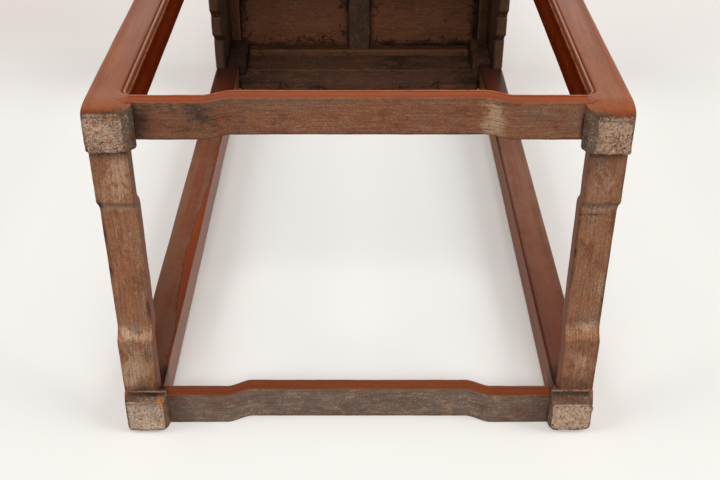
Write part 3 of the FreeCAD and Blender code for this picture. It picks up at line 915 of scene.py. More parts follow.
def add_back_leg_marks(marks, u, v, heights, inner, heel, strip):
    """Further marks of a back leg, whose inner faces show along their whole length."""
    frontward = at_inner(v)
    instep = frontward * inner * (1 - heel)
    flank = (inner - instep) * (1 - heel)
    shin = 1 - smooth(heights, *SHIN_FADE)
    crown = smooth(heights, *CROWN_RISE)
    kept_edge = (1 - strip) * instep * near(u, LEG_SIZE - 0.6, 2.8)
    joint = (instep + flank) * (1 - smooth(heights, *JOINT_FADE))
    below_seam = heel * (1 - smooth(heights, BAR_BOTTOM - 3, BAR_BOTTOM - 1.5))
    sideward = below_seam * (1 - frontward)
    bare_from = 31 - 8 * near(heights, 250, 190)
    strip_run = smooth(heights, *STRIP_START) * (1 - smooth(heights, *STRIP_END))
    marks["skin"] = instep
    marks["deep"] *= 1 - inner
    # The crown is painted dark red as shadow below the frame
    marks["deep"] += instep * np.maximum(0.9 * crown, 0.4 * shin * (1 - strip)) + 0.8 * kept_edge
    marks["shade"] += instep * (0.06 * strip + (0.08 + 0.36 * strip) * shin + 0.25 * crown)
    marks["shade"] += 0.62 * inner * smooth(heights, *TOP_SHADOW) + 0.25 * below_seam * frontward
    marks["shade"] += 0.35 * kept_edge + 0.12 * flank + 0.5 * joint
    marks["sheen"] += (0.3 + 0.35 * strip) * flank + (0.85 - 0.8 * strip) * instep
    # On the flank the rubbing mark paints light, and at the knee's top edge a painted highlight
    marks["rub"] *= 1 - instep
    marks["rub"] += (0.12 + 0.16 * strip) * flank + 0.3 * heel * near(heights, BAR_BOTTOM - 1, 2.0)
    marks["warm"] += 0.5 * heel * near(heights, 4, 5)
    marks["grime"] += 0.4 * joint + 0.3 * heel * (1 - smooth(heights, 0, 4)) * frontward - 0.4 * sideward
    marks["pale"] += 0.4 * sideward
    marks["flush"] = strip * instep * smooth(u, bare_from - 4, bare_from + 4) * strip_run
    marks["stain"] = 1.2 * strip * smooth(u, 22, 31) * smooth(v, 24, 32) * (1 - smooth(heights, 6, 11))


def sole_marks(rings, back, strip):
    """Surface marks of a sole, darker towards the edge that is uppermost in the photograph."""
    u, v = rings[..., 0], rings[..., 1]
    lid = np.ones(u.shape)
    edge = smooth(v, 26, 38) if back else 1 - smooth(v, 4, 13)
    return {
        "end": 1 - 0.3 * smooth(SOLE_RINGS, 0.8, 1.0)[:, None] * lid,
        "bare": lid,
        # Painted light: the back soles are made paler, the back left one most
        "pale": (0.5 * back + 0.4 * strip) * lid,
        "shade": (0.42 if back else 0.28) * edge + 0.25 * smooth(SOLE_RINGS, 0.9, 1.0)[:, None],
        "stain": 1.1 * strip * smooth(u, 24, 33) * smooth(v, 28, 36),
    }


def leg(node, way_x, way_y, strip, glow, block_shade, seed):
    """One leg with its foot, its core behind the aprons and the block below the frame."""
    back = way_y > 0
    counts = leg_divisions()
    flat = np.array([outline(leg_corners(z), counts) for z in LEG_STATIONS])
    heights = np.broadcast_to(LEG_STATIONS[:, None], flat.shape[:2])
    marks = leg_marks(flat, heights, back, strip, glow)
    mitre = LEG_SIZE * (APRON_TOP - heights) / (APRON_TOP - APRON_BOTTOM)
    flat = np.minimum(flat, np.maximum(mitre, 0.3)[..., None])
    rings = capped(foot_rings(flat, heights, FEET[node]), SOLE_RINGS)
    lid = np.zeros((len(SOLE_RINGS), flat.shape[1]))
    sole = sole_marks(rings[:len(SOLE_RINGS)], back, strip)
    for key, values in marks.items():
        marks[key] = np.concatenate((sole.get(key, lid), values, lid))
    even = uneven(rings, *LEG_UNEVENNESS, seed)
    rough = uneven(rings, *END_COARSE, seed + 3) + uneven(rings, *END_FINE, seed + 5) - 2 * rings
    points = even + rough * marks["end"][..., None]
    points[..., 2] = np.maximum(points[..., 2], 0.0)
    parts = [
        shell(points, points[..., (2, 0, 1)], **marks),
        leg_block(APRON_DEPTH + 0.6, LEG_SIZE, APRON_BOTTOM - 4, APRON_TOP, CORE_BARE, CORE_SHADE, seed),
        leg_block(WAIST_INNER, BLOCK_SIZE, BLOCK_BOTTOM, RAIL_BOTTOM, 1.0, block_shade, seed + 1),
    ]
    make_piece(node, "leg_wood", parts, at_corner(way_x, way_y), seed)


def leg_block(low, high, bottom, top, bare, block_shade, seed):
    """Square block inside the corner: the leg's core behind the aprons or the block below the frame,
    darkened by painted shade.
    """
    corners = [(low, low, 1.0), (high, low, 2.0), (high, high, 3.0), (low, high, 2.0)]
    section = outline(corners, divisions(corners, 4.0))
    heights = np.linspace(bottom, top, max(4, round((top - bottom) / 5)))
    points = uneven(straight(section, heights, 2, BLOCK_RINGS), 0.8 * bare, 9.0, seed)
    marks = {"grime": 0.35 + 0.35 * bare, "shade": block_shade, "deep": 0.8, "pale": -0.6, "warm": bare - 0.2}
    return shell(points, points[..., (2, 0, 1)], bare=bare, **marks)


for seed, (node, kind) in enumerate(LEGS.items(), 1):
    leg(node, *kind, seed)


# Stretchers

# The bars run a little into the legs, and the two long ones are a little deeper than the CAD has them
BAR_TUCK = 0.6
LONG_BAR_SWELL = 0.8
BAR_SPACING = 1.3
BACK_INNER_SHADE = 0.12
POINT_PLAY = 0.2
POINT_ROOT = 1.5


def bar_section(bar_depth):
    """Outline of a stretcher in depth and height, with a bead and a hollow along its upper outer edge."""
    low, high = BAR_BOTTOM, BAR_BOTTOM + BAR_HEIGHT
    crest = high - BEAD_WIDTH
    corners = [
        (0.0, low, 1.3), (bar_depth, low, 1.5), (bar_depth, high, 1.2), (-BEAD_PROUD, high, 0.4),
        (-BEAD_PROUD, crest, 0.3), (HOLLOW_DEPTH, crest - 1.0, 1.0), (0.0, crest - HOLLOW_WIDTH, 2.0),
    ]
    return outline(corners, divisions(corners, 2.5))


def shoulder_point(half_run, set_out, way):
    """Pointed end of a stretcher's outer face, let into the leg."""
    inner = half_run - LEG_SIZE
    low, high = BAR_BOTTOM + POINT_PLAY, BAR_BOTTOM + BAR_HEIGHT - POINT_PLAY
    root = inner - POINT_ROOT
    tip = inner + BAR_HEIGHT / 2 - POINT_PLAY
    centre = (low + high) / 2
    corners = [
        (root, low, 0.3), (inner, low, 0.2), (tip, centre, 0.8), (inner, high, 0.2), (root, high, 0.3),
    ]
    section = outline(corners, divisions(corners, 2.0))
    middle = np.array((inner + POINT_ROOT, centre))
    rings = []
    for depth, grow in ((-0.1, 0.9), (0.05, 1.0), (1.0, 1.0), (POINT_DEPTH, 1.0)):
        x, z = (middle + (section - middle) * grow).T
        rings.append(np.column_stack((way * x, np.full(len(x), depth - set_out), z)))
    rings = capped(np.array(rings), (0.05, 0.4, 0.75))
    seam = np.zeros(rings.shape[:2])
    seam[3] = 0.05
    seam[4:] = 0.4
    return shell(rings, rings, grime=seam, warm=0.4, sheen=0.6)


# Worn places, with painted shadow in the gaps beside the feet and painted light on the side bars' steps:
# mark, place along, depth, reach along, reach in depth and amount
FRONT_WEAR_AND_SHADE = (
    ("ash", -122, 9, 26, 12, 0.5),
    ("ash", -60, 2, 60, 8, 0.6),
    ("warm", 20, 15, 130, 40, 0.5),
    ("shade", 60, 15, 70, 40, 0.08),
    ("warm", -104, 18, 9, 20, 0.9),
    ("warm", -152, 16, 12, 8, 0.6),
    ("pale", 105, 13, 8, 16, 1.2),
    ("shade", 105, 15, 9, 26, -0.2),
    ("pale", 102, 25, 8, 8, 0.7),
    ("ash", 145, 12, 34, 14, 0.5),
    ("pale", 150, 6, 20, 6, 0.4),
    ("grime", -168, 18, 12, 22, 0.6),
    ("grime", -120, 15, 60, 30, 0.58),
    # Painted shadow in the gaps between the bar and the feet
    ("grime", 176, 22, 4, 12, 1.6),
    ("shade", 172.5, 18, 2.5, 14, 0.9),
    ("shade", -171, 16, 3, 20, 0.6),
)
BACK_WEAR_AND_SHADE = (
    ("ash", 0, 15, 300, 40, 1.2),
    ("pale", 0, 15, 300, 40, 0.25),
    ("grime", -165, 10, 26, 20, 0.35),
    ("grime", 165, 10, 26, 20, 0.35),
    # Painted shadow beside the feet
    ("shade", -170, 15, 16, 40, 0.5),
    ("shade", 168, 15, 22, 40, 0.42),
)
LEFT_WEAR_SHADE_AND_LIGHT = (
    ("pale", 109, 22, 18, 12, 0.85),
    ("pale", 88, 18, 14, 12, 0.7),
    ("grime", 71, 2, 8, 4, 0.5),
    ("warm", 5, 14, 46, 10, 0.5),
    ("pale", 5, 18, 40, 10, 0.3),
    ("grime", 40, 1, 22, 3, 0.8),
    ("grime", -40, 29, 18, 3, 0.7),
    ("grime", 2, 1, 10, 4, 0.8),
    ("ash", -18, 26, 9, 7, 0.6),
    ("pale", -61, 16, 7, 18, 0.9),
    ("pale", -58, 17, 4, 7, -1.6),
    ("ash", -61, 16, 8, 18, 0.6),
    ("grime", -67, 15, 1.5, 20, 0.5),
    # Painted light on the step's lit slope and a painted highlight on its edge
    ("pale", 66, 15, 6, 20, 1.5),
    ("rub", 71.5, 15, 1.5, 30, 0.7),
    ("pale", -106, 5, 14, 8, 0.9),
    ("shade", -108, 5, 10, 8, -0.2),
    ("pale", -97, 15, 30, 18, 0.7),
    ("ash", -97, 15, 28, 18, 0.6),
    ("grime", -84, 24, 12, 6, 0.5),
    ("grime", -122, 20, 9, 14, 0.6),
    ("shade", -124, 15, 12, 40, 0.45),
    ("shade", 126, 4, 10, 10, 0.4),
)
RIGHT_WEAR_SHADE_AND_LIGHT = (
    ("pale", 96, 16, 26, 14, 0.4),
    ("grime", 30, 30, 60, 2.5, 0.7),
    ("grime", -20, 1, 60, 2.5, 0.6),
    ("ash", 100, 18, 26, 15, 0.4),
    ("pale", 90, 12, 11, 10, 0.5),
    # Painted light on the step's lit slope and a painted highlight on its edge
    ("pale", 66, 15, 6, 22, 1.6),
    ("rub", 71.5, 15, 1.5, 30, 0.7),
    # Painted shade in the step's crease
    ("grime", 57, 15, 1.3, 22, 0.6),
    ("grime", 106, 26, 9, 7, 0.5),
    ("pale", -11, 3, 24, 5, 0.8),
    ("ash", -52, 14, 12, 18, 0.6),
    ("pale", -56, 14, 7, 14, 0.8),
    ("grime", -67, 14, 2.5, 18, 0.7),
    ("pale", -90, 14, 16, 12, 0.8),
    ("grime", -116, 15, 9, 18, 0.6),
    ("shade", -124, 15, 12, 40, 0.5),
    ("pale", -117, 17, 5, 7, 0.8),
)


def stretcher(side, half_run, set_out, step, wear_and_shading, shade, seed):
    """Humpback stretcher with its pointed shoulders.

    Wear lists the worn places of its underside, with some painted shade and painted light, and shade says
    how dark that is.
    """
    name = "stretcher_" + side
    inner = half_run - LEG_SIZE
    reach = inner + BAR_TUCK
    inner_shade = BACK_INNER_SHADE if side == "back" else 0.0
    bar_depth = BAR_DEPTH + (LONG_BAR_SWELL if side in ("front", "back") else 0.0)
    section = bar_section(bar_depth)
    bar = shaped_length(
        name, section, "stretcher_wood", BAR_SPACING, seed, reach, set_out, rise=STEP_RISE, step=step
    )
    x, y, z = bar["points"].T
    depth = y + set_out
    step_run, shift, crispness = step
    share = np.clip((reach - STEP_START - np.abs(x - shift)) / step_run, 0, 1)
    eased = smooth(share, 0, 1)
    climb = eased + crispness * (1 - (1 - share) ** 2 - eased)
    level = z - BAR_BOTTOM - STEP_RISE * climb
    below = 1 - smooth(level, 0.3, 1.6)
    inside = smooth(depth, bar_depth - 1.6, bar_depth - 0.3)
    edge_depth = np.minimum(depth, bar_depth - depth)
    edge_level = np.minimum(level, BAR_HEIGHT - level)
    arris = 1 - smooth(np.maximum(edge_depth, edge_level), 0.4, 1.8)
    outer = 1 - smooth(depth, 0.8, 1.6)
    crest = outer * near(level, BAR_HEIGHT - BEAD_WIDTH / 2, 1.2)
    hollow = outer * near(level, BAR_HEIGHT - BEAD_WIDTH - 1.4, 2.6)
    end = smooth(np.abs(x), inner - 9, inner)
    # The hollow is painted dark as shade; the ends darken partly from grime and partly as painted shadow in
    # the gaps at the legs; the arrises and the bead's crest carry wear and painted highlights
    marks = {
        "bare": 1.1 * below,
        "rub": np.maximum(arris * (1 - 0.5 * inside) * (1 - end) * (0.5 - 0.3 * below), 0.7 * crest),
        "grime": 0.6 * end * np.maximum(below, inside) + 0.25 * hollow,
        "pale": -0.12 * below,
        "warm": 0.5 * (1 - below) * (1 - inside) + 0.1 * inside,
        "deep": 0.3 * inside + 0.5 * hollow,
        "sheen": 0.25 * (1 - below) * (1 - hollow),
        "shade": below * (shade + 0.32 * (1 - smooth(edge_depth, 0.3, 2.4))) + inner_shade * inside,
    }
    for mark, along, deep, reach_along, reach_deep, amount in wear_and_shading:
        far = ((x - along) / reach_along) ** 2 + ((depth - deep) / reach_deep) ** 2
        marks[mark] = marks.get(mark, 0.0) + amount * below * np.exp(-far)
    marked(bar, np.column_stack((x, depth, level)), **marks)
    parts = [bar, shoulder_point(half_run, set_out, -1), shoulder_point(half_run, set_out, 1)]
    make_piece(name, "stretcher_wood", parts, at_side(side), seed)


# Stretchers: run, shift and crispness of the steps, wear with painted shade and light, and shade of the
# underside
LONG_STEPS = (22.0, 0.0, 0.1)
SHORT_STEPS = (13.0, 2.7, 0.75)
STRETCHERS = {
    "front": (LONG_STEPS, FRONT_WEAR_AND_SHADE, 0.2),
    "back": (LONG_STEPS, BACK_WEAR_AND_SHADE, 0.0),
    "left": (SHORT_STEPS, LEFT_WEAR_SHADE_AND_LIGHT, 0.0),
    "right": (SHORT_STEPS, RIGHT_WEAR_SHADE_AND_LIGHT, 0.06),
}
for seed, (side, kind) in enumerate(STRETCHERS.items(), 5):
    stretcher(side, *SIDES[side], *kind, seed)


# Aprons

# Aprons: weathering of the lower edge, and how far it sags between the legs
APRONS = {"front": (0.4, 0.0), "back": (0.0, 8.0), "left": (0.2, 0.0), "right": (0.3, 0.0)}
FACE_PARTS = 14
APRON_UNEVENNESS = (0.3, 24.0)


def apron_edge(run, inner, sag):
    """Height of an apron's lower edge at a distance from its middle; sag lowers it between the legs."""
    level = APRON_BOTTOM - sag * smooth(inner - run, 0, 3)
    for ratio, drop in APRON_STEPS:
        start = inner * ratio
        level -= drop * smooth(start - run, 0, DROP_RUN)
        level += NOTCH_RISE * np.clip(1 - np.abs(run - start - NOTCH_WIDTH / 2) / (NOTCH_WIDTH / 2), 0, 1)
    mitre = (APRON_TOP - APRON_BOTTOM) * np.clip(run - inner, 0, None) / LEG_SIZE
    return level + mitre


def apron_stations(inner, half_run):
    """Places of an apron's sections along it, closest at its steps and mitres."""
    spots = [np.arange(0.0, inner, 4.0), np.linspace(inner, half_run - 0.4, 24)]
    for ratio, _ in APRON_STEPS:
        spots.append(np.arange(inner * ratio - DROP_RUN - 1, inner * ratio + NOTCH_WIDTH + 1, 0.6))
    side = np.unique(np.round(np.concatenate(spots), 2))
    return np.concatenate((-side[:0:-1], side))


def apron_corners(low):
    """Corners of an apron's section above its lower edge, in depth and height."""
    crest = low + BEAD_INSET + BEAD_WIDTH
    corners = [
        (LEDGE_DEPTH, low, 0.8), (APRON_DEPTH, low, 1.2), (APRON_DEPTH, APRON_TOP, 0.3),
        (WAIST_RECESS, APRON_TOP, 0.5), (0.0, APRON_TOP - APRON_SLOPE, 1.0),
        (0.0, crest + HOLLOW_WIDTH, 2.0), (HOLLOW_DEPTH, crest + 1.0, 1.0), (-BEAD_PROUD, crest, 0.35),
        (-BEAD_PROUD, low + BEAD_INSET, 0.35), (LEDGE_DEPTH, low + BEAD_INSET - RISER_RUN, 0.3),
    ]
    return [(depth, min(z, APRON_TOP), radius) for depth, z, radius in corners]


def apron(side, half_run, set_out, grey, sag, seed):
    """Apron with a lipped, stepped lower edge; grey says how far that edge has weathered."""
    inner = half_run - LEG_SIZE
    stations = apron_stations(inner, half_run)
    lows = apron_edge(np.abs(stations), inner, sag)
    counts = divisions(apron_corners(lows[0]), 4.0)
    counts[1] = counts[4] = FACE_PARTS
    rings = []
    for x, low in zip(stations, lows):
        section = outline(apron_corners(low), counts)
        depth = np.minimum(section[:, 0], max(half_run - abs(x), 0.2))
        height = np.maximum(section[:, 1], low)
        slope = APRON_TOP - APRON_SLOPE + APRON_SLOPE * np.maximum(depth, 0) / WAIST_RECESS
        height = np.where(depth < WAIST_RECESS, np.minimum(height, slope), height)
        rings.append(np.column_stack((np.full(len(section), x), depth - set_out, height)))
    rings = np.array(rings)
    depth = rings[..., 1] + set_out
    rise = rings[..., 2] - lows[:, None]
    inside = smooth(depth, APRON_DEPTH - 2.5, APRON_DEPTH - 0.5)
    below = 1 - smooth(rise, 0.4, 1.8)
    outer = 1 - smooth(depth, LEDGE_DEPTH, LEDGE_DEPTH + 0.6)
    ledge = outer * (1 - smooth(rise, BEAD_INSET - RISER_RUN - 0.2, BEAD_INSET - RISER_RUN + 0.4))
    riser = outer * near(rise, BEAD_INSET - RISER_RUN / 2, RISER_RUN)
    corner = smooth(np.abs(rings[..., 0]), half_run - 95, half_run - 45)
    # Painted shade darkens the riser; painted highlights light the bead's face and the top of the inner
    # face
    marks = {
        "bare": np.clip(inside + 1.1 * below + 0.6 * ledge, 0, 1.1),
        "rub": (depth < -0.03) * 0.8 + 0.25 * inside * near(rings[..., 2], APRON_TOP, 2.0),
        "grime": 0.7 * riser + (0.35 + 0.35 * corner) * inside + 0.5 * (1 - grey) * below,
        "shade": 0.25 * inside * (1 - smooth(rise, 8, 22)),
        "pale": 0.7 * grey * below - 0.3,
        "ash": grey * below,
        "craze": 0.45 * inside,
        "sheen": 0.6 * (1 - inside) * (1 - below),
    }
    rings = capped(rings, (0.05,))
    for key, values in marks.items():
        marks[key] = np.concatenate((values[:1], values, values[-1:]))
    points = uneven(rings, *APRON_UNEVENNESS, seed)
    part = shell(points, points[..., (0, 2, 1)], **marks)
    make_piece("apron_" + side, "apron_wood", [part], at_side(side), seed)


for seed, (side, kind) in enumerate(APRONS.items(), 9):
    apron(side, *SIDES[side], *kind, seed)


# Waist boards and top frame

FRAME_SPACING = 4.0
# Darkest place of the waist at the back, and its reach
BACK_WAIST_DARK = (65, 75)
# Top frame: rounded band, its lip, and the cove below, which bends beside the rail's lower edge
BAND_HEIGHT = 13.0
BAND_LIP = 1.5
COVE_DEPTH = 9.0
COVE_BEND = (8.75, 5.65)
COVE_FOOT = 3.0
COVE_PARTS = 7
RAIL_SHADE = {"front": 0.2, "back": 0.1, "left": 0.3, "right": 0.5}


def waist(side, half_run, set_out, seed):
    """Recessed waist board, mitred at the corners."""
    corners = [
        (WAIST_RECESS, APRON_TOP, 0.5), (WAIST_INNER, APRON_TOP, 0.5),
        (WAIST_INNER, RAIL_BOTTOM, 0.5), (WAIST_RECESS, RAIL_BOTTOM, 0.5),
    ]
    section = outline(corners, divisions(corners, 3.0))
    name = "waist_" + side
    board = shaped_length(name, section, "waist_wood", FRAME_SPACING, seed, half_run, set_out, mitre=1.0)
    x, y, z = board["points"].T
    depth = y + set_out
    inside = smooth(depth, WAIST_INNER - 2, WAIST_INNER - 0.5)
    corner = smooth(np.abs(x), half_run - 95, half_run - 35)
    grime = inside * (0.35 + 0.5 * corner)
    if side == "back":
        grime = inside * (0.12 + 0.6 * corner + 0.55 * near(x, *BACK_WAIST_DARK))
    marked(board, np.column_stack((x, z, depth)), bare=1.1 * inside, grime=grime, sheen=0.6 * (1 - inside))
    make_piece(name, "waist_wood", [board], at_side(side), seed)


def rail_section():
    """Rounded upper band over a coved, undercut lower edge."""
    band_low = TOP_HEIGHT - BAND_HEIGHT
    lip = np.array((BAND_LIP, band_low - BAND_LIP))
    bend = np.array((COVE_BEND[0], band_low - COVE_BEND[1]))
    foot = np.array((COVE_DEPTH, RAIL_BOTTOM + COVE_FOOT))
    corners = [
        (COVE_DEPTH, RAIL_BOTTOM, 0.6), (RAIL_WIDTH, RAIL_BOTTOM, 1.0), (RAIL_WIDTH, TOP_HEIGHT, 0.5),
        (0.0, TOP_HEIGHT, 3.0), (0.0, band_low, 0.8), (*lip, 0.4),
    ]
    for share in np.linspace(0, 1, COVE_PARTS + 1)[1:]:
        spot = lip * (1 - share) ** 2 + 2 * bend * share * (1 - share) + foot * share ** 2
        corners.append((*spot, 0.6))
    return outline(corners, divisions(corners, 3.0))


def rail(side, half_run, set_out, dark, seed):
    """Moulded rail of the top frame, mitred at the corners; dark says how far its underside is darkened."""
    name = "rail_" + side
    section = rail_section()
    bar = shaped_length(name, section, "rail_wood", FRAME_SPACING, seed, half_run, set_out, mitre=1.0)
    x, y, z = bar["points"].T
    depth = y + set_out
    under = (1 - smooth(z, RAIL_BOTTOM + 0.5, RAIL_BOTTOM + 2)) * smooth(depth, 8, 10)
    inside = smooth(depth, RAIL_WIDTH - 2, RAIL_WIDTH - 0.5)
    inside *= 1 - smooth(z, PANEL_BOTTOM + 2, PANEL_BOTTOM + 4)
    edge = near(z, TOP_HEIGHT - BAND_HEIGHT, 1.2) * (1 - smooth(depth, 0.5, 1.5))
    seam = near(np.abs(x), half_run - depth, 0.8)
    arris = near(z, RAIL_BOTTOM, 1.6) * near(depth, RAIL_WIDTH, 1.6)
    # Painted highlights light the band's lower edge and the lower inner arris
    marks = {
        "bare": np.clip(1.1 * np.maximum(under, inside), 0, 1.1),
        "rub": 0.5 * edge + 0.6 * arris,
        "grime": 0.15 * under + 0.45 * inside + 0.5 * seam,
        "shade": np.maximum(dark * under, 0.6 * inside) * (1 - 0.7 * arris),
        "craze": 0.5 * np.maximum(under, inside),
        "sheen": 0.6 * (1 - under) * (1 - inside),
    }
    marked(bar, np.column_stack((x, depth, z)), **marks)
    make_piece(name, "rail_wood", [bar], at_side(side), seed)


for seed, (side, place) in enumerate(SIDES.items(), 13):
    waist(side, *place, seed)
for seed, (side, place) in enumerate(TOP_SIDES.items(), 17):
    rail(side, *place, RAIL_SHADE[side], seed)


# Panel and its brace

PANEL_GAP = 0.4
PANEL_STATIONS = 142
BRACE_TUCK = 0.6
BRACE_STATIONS = 90
BOARD_RINGS = (0.05, 0.6)
PANEL_UNEVENNESS = (0.35, 30.0)
BRACE_UNEVENNESS = (0.5, 22.0)


def panel(seed):
    """Floating panel: waxed above, old dark lacquer below."""
    half_x = TOP_X - RAIL_WIDTH - PANEL_GAP
    half_y = TOP_Y - RAIL_WIDTH - PANEL_GAP
    corners = [
        (-half_y, PANEL_BOTTOM, 0.6), (half_y, PANEL_BOTTOM, 0.6),
        (half_y, TOP_HEIGHT, 0.8), (-half_y, TOP_HEIGHT, 0.8),
    ]
    section = outline(corners, divisions(corners, 2.6))
    rings = straight(section, np.linspace(-half_x, half_x, PANEL_STATIONS), 0, BOARD_RINGS)
    points = uneven(rings, *PANEL_UNEVENNESS, seed)
    x, y, z = rings[..., 0], rings[..., 1], rings[..., 2]
    below = 1 - smooth(z, PANEL_BOTTOM + 1, PANEL_BOTTOM + 3)
    edge = np.minimum(half_x - np.abs(x), half_y - np.abs(y))
    edge = np.minimum(edge, np.abs(np.abs(x) - BRACE_HALF))
    marks = {
        "bare": 1.1 * below,
        "grime": below * (0.15 + 0.55 * (1 - smooth(edge, 1, 13)) + 0.2 * smooth(x, 20, 60)),
        "shade": 0.22 * below * (1 - smooth(y, half_y - 95, half_y - 40)),
        "pale": below * (0.7 * near(y, half_y - 34, 46) - 0.2),
        "craze": below * (0.75 - 0.7 * smooth(edge, 6, 32)),
        "sheen": 0.6 * (1 - below),
    }
    part = shell(points, points, **marks)
    make_piece("top_panel", "panel_wood", [part], at_side("front"), seed)


def brace(seed):
    """Brace across the underside of the panel."""
    half_y = TOP_Y - RAIL_WIDTH + BRACE_TUCK
    corners = [
        (-BRACE_HALF, BRACE_BOTTOM, 1.6), (BRACE_HALF, BRACE_BOTTOM, 1.6),
        (BRACE_HALF, PANEL_BOTTOM + 1, 0.4), (-BRACE_HALF, PANEL_BOTTOM + 1, 0.4),
    ]
    section = outline(corners, divisions(corners, 2.5))
    rings = straight(section, np.linspace(-half_y, half_y, BRACE_STATIONS), 1, BOARD_RINGS)
    points = uneven(rings, *BRACE_UNEVENNESS, seed)
    grime = 0.2 + 0.3 * smooth(points[..., 2], BRACE_BOTTOM + 4, PANEL_BOTTOM)
    part = shell(points, points[..., (1, 0, 2)], bare=1.1, grime=grime, craze=0.3)
    make_piece("panel_brace", "brace_wood", [part], at_side("front"), seed)


panel(21)
brace(22)


# Studio: camera, lamps, world, floor and backdrop

CAMERA_PITCH = math.radians(32.62)
CAMERA_PLACE = (0.00122, -0.51185, -0.72614)
CAMERA_LENS = 53.82
SENSOR_WIDTH = 36
# Lamps: direction of the light's source, strength and width in degrees
LAMPS = {
    "overhead_softbox": ((0.0, -0.64, -0.77), 1.7, 25),
    "left_softbox": ((-1.1, -0.85, -0.2), 0.85, 35),
    "right_softbox": ((1.1, -0.85, -0.2), 1.05, 35),
    "top_fill": ((0.1, 0.35, 1.0), 0.9, 60),
}
# The studio is bright at the level of the horizon and dimmer overhead, as the polish shows it
PALE_LIGHT = (0.97, 0.95, 0.92, 1.0)
AMBIENT = 0.25
HORIZON, OVERHEAD = 0.95, 0.15
PAPER = (0.932, 0.914, 0.878, 1.0)
# Painted shade on the backdrop: the colour it darkens towards, and how much at the far end and more at the
# left
FAR_SHADE_COLOUR = (0.2, 0.01, 0.01, 1.0)
GLOW_SHARE = 0.08
FAR_DIMMING, LEFT_DIMMING = 0.12, 0.13
WIDE, LOW, HIGH = 1.0, -0.35, 1.6


def photo_camera():
    """Camera below the feet, looking up along the stand, which lies on its back in the picture."""
    data = bpy.data.cameras.new("photo_camera")
    data.lens = CAMERA_LENS
    data.sensor_width = SENSOR_WIDTH
    camera = bpy.data.objects.new("photo_camera", data)
    scene.collection.objects.link(camera)
    ahead = Vector((0, math.sin(CAMERA_PITCH), math.cos(CAMERA_PITCH)))
    upward = Vector((0, -math.cos(CAMERA_PITCH), math.sin(CAMERA_PITCH)))
    camera.matrix_world = Matrix((ahead.cross(upward), upward, -ahead)).transposed().to_4x4()
    camera.matrix_world.translation = Vector(CAMERA_PLACE)
    scene.camera = camera


def soft_lamp(name, source, strength, width):
    """Broad lamp far away in a direction."""
    data = bpy.data.lights.new(name, "SUN")
    data.energy = strength
    data.angle = math.radians(width)
    lamp = bpy.data.objects.new(name, data)
    lamp.rotation_mode = "QUATERNION"
    lamp.rotation_quaternion = Vector(source).to_track_quat("Z", "Y")
    scene.collection.objects.link(lamp)


def studio_world():
    """Pale surroundings: dim as light, brighter in the polish and behind the picture."""
    world = bpy.data.worlds.new("studio")
    scene.world = world
    world.use_nodes = True
    sky = world.node_tree
    path = add(sky, "ShaderNodeLightPath").outputs
    aim = add(sky, "ShaderNodeTexCoord").outputs["Generated"]
    upness = times(sky, add(sky, "ShaderNodeSeparateXYZ", {0: aim}).outputs["Y"], -1.0)
    dimming = ramp(sky, upness, 0.35, 0.43)
    mirror_light = plus(sky, HORIZON, times(sky, dimming, OVERHEAD - HORIZON))
    seen = maths(sky, "MAXIMUM", path["Is Camera Ray"], path["Is Transmission Ray"])
    lights = []
    for strength in (AMBIENT, mirror_light, HORIZON):
        light = add(sky, "ShaderNodeBackground", {"Color": PALE_LIGHT, "Strength": strength})
        lights.append(light.outputs[0])
    unseen = add(sky, "ShaderNodeMixShader", {0: path["Is Glossy Ray"], 1: lights[0], 2: lights[1]})
    either = add(sky, "ShaderNodeMixShader", {0: seen, 1: unseen.outputs[0], 2: lights[2]})
    sky.links.new(either.outputs[0], sky.nodes["World Output"].inputs["Surface"])


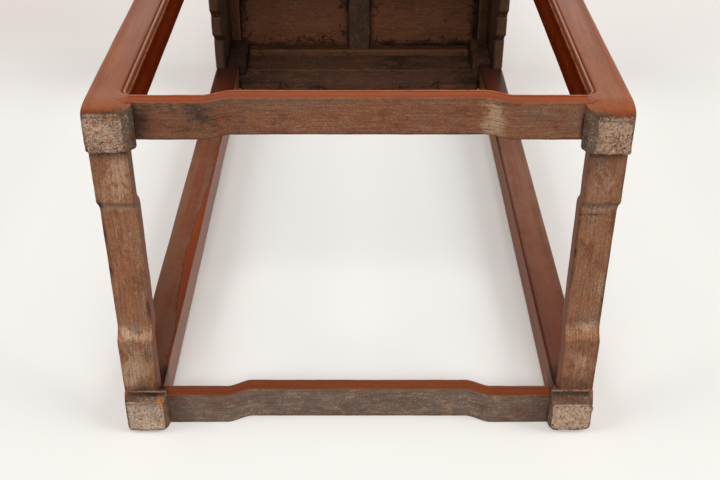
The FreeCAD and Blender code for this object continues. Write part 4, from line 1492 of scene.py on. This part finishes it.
def stage_sheet(name, corners, backdrop):
    """Pale sheet that shows only from its front, with soft borders, and stops no light.

    The backdrop also shows in the polish, and painted shade darkens its far end, most at the left.
    """
    mesh = bpy.data.meshes.new(name)
    mesh.from_pydata(corners, [], [(0, 1, 2, 3)])
    mesh.uv_layers.new(name="sheet")
    for loop, spot in zip(mesh.uv_layers["sheet"].data, ((0, 0), (1, 0), (1, 1), (0, 1))):
        loop.uv = spot
    material = bpy.data.materials.new(name + "_paper")
    material.use_nodes = True
    tree = material.node_tree
    tree.nodes.remove(tree.nodes["Principled BSDF"])
    path = add(tree, "ShaderNodeLightPath")
    shown = path.outputs["Is Camera Ray"]
    if backdrop:
        shown = maths(tree, "MAXIMUM", shown, path.outputs["Is Glossy Ray"])
    behind = add(tree, "ShaderNodeNewGeometry").outputs["Backfacing"]
    shown = times(tree, shown, minus(tree, 1.0, behind))
    spot = add(tree, "ShaderNodeSeparateXYZ", {0: add(tree, "ShaderNodeUVMap", uv_map="sheet").outputs[0]})
    for axis in ("X", "Y"):
        from_middle = maths(tree, "ABSOLUTE", minus(tree, spot.outputs[axis], 0.5))
        shown = times(tree, shown, ramp(tree, from_middle, 0.5, 0.42))
    colour = PAPER
    if backdrop:
        # Painted shade at the far end of the backdrop
        left = times(tree, ramp(tree, spot.outputs["X"], 0.5, 0.2), LEFT_DIMMING)
        far = ramp(tree, spot.outputs["Y"], 0.5, 0.74)
        dimming = times(tree, far, plus(tree, left, FAR_DIMMING))
        colour = mixed(tree, dimming, PAPER, FAR_SHADE_COLOUR)
    shaded = add(tree, "ShaderNodeBsdfDiffuse", {"Color": colour})
    glow = add(tree, "ShaderNodeEmission", {"Color": colour, "Strength": GLOW_SHARE})
    paper = add(tree, "ShaderNodeAddShader", {0: shaded.outputs[0], 1: glow.outputs[0]})
    clear = add(tree, "ShaderNodeBsdfTransparent")
    cover = add(tree, "ShaderNodeMixShader", {0: shown, 1: clear.outputs[0], 2: paper.outputs[0]})
    tree.links.new(cover.outputs[0], tree.nodes["Material Output"].inputs["Surface"])
    mesh.materials.append(material)
    sheet = bpy.data.objects.new(name, mesh)
    scene.collection.objects.link(sheet)


photo_camera()
for name, kind in LAMPS.items():
    soft_lamp(name, *kind)
studio_world()
lean = (TOP_Y - HALF_Y) / TOP_HEIGHT
back_low = HALF_Y * MM + lean * LOW
back_high = HALF_Y * MM + lean * HIGH
stage_sheet(
    "backdrop",
    [(-WIDE, back_low, LOW), (WIDE, back_low, LOW), (WIDE, back_high, HIGH), (-WIDE, back_high, HIGH)],
    True,
)
stage_sheet("floor", [(-WIDE, -WIDE, 0), (WIDE, -WIDE, 0), (WIDE, WIDE, 0), (-WIDE, WIDE, 0)], False)

scene.view_settings.view_transform = "Standard"
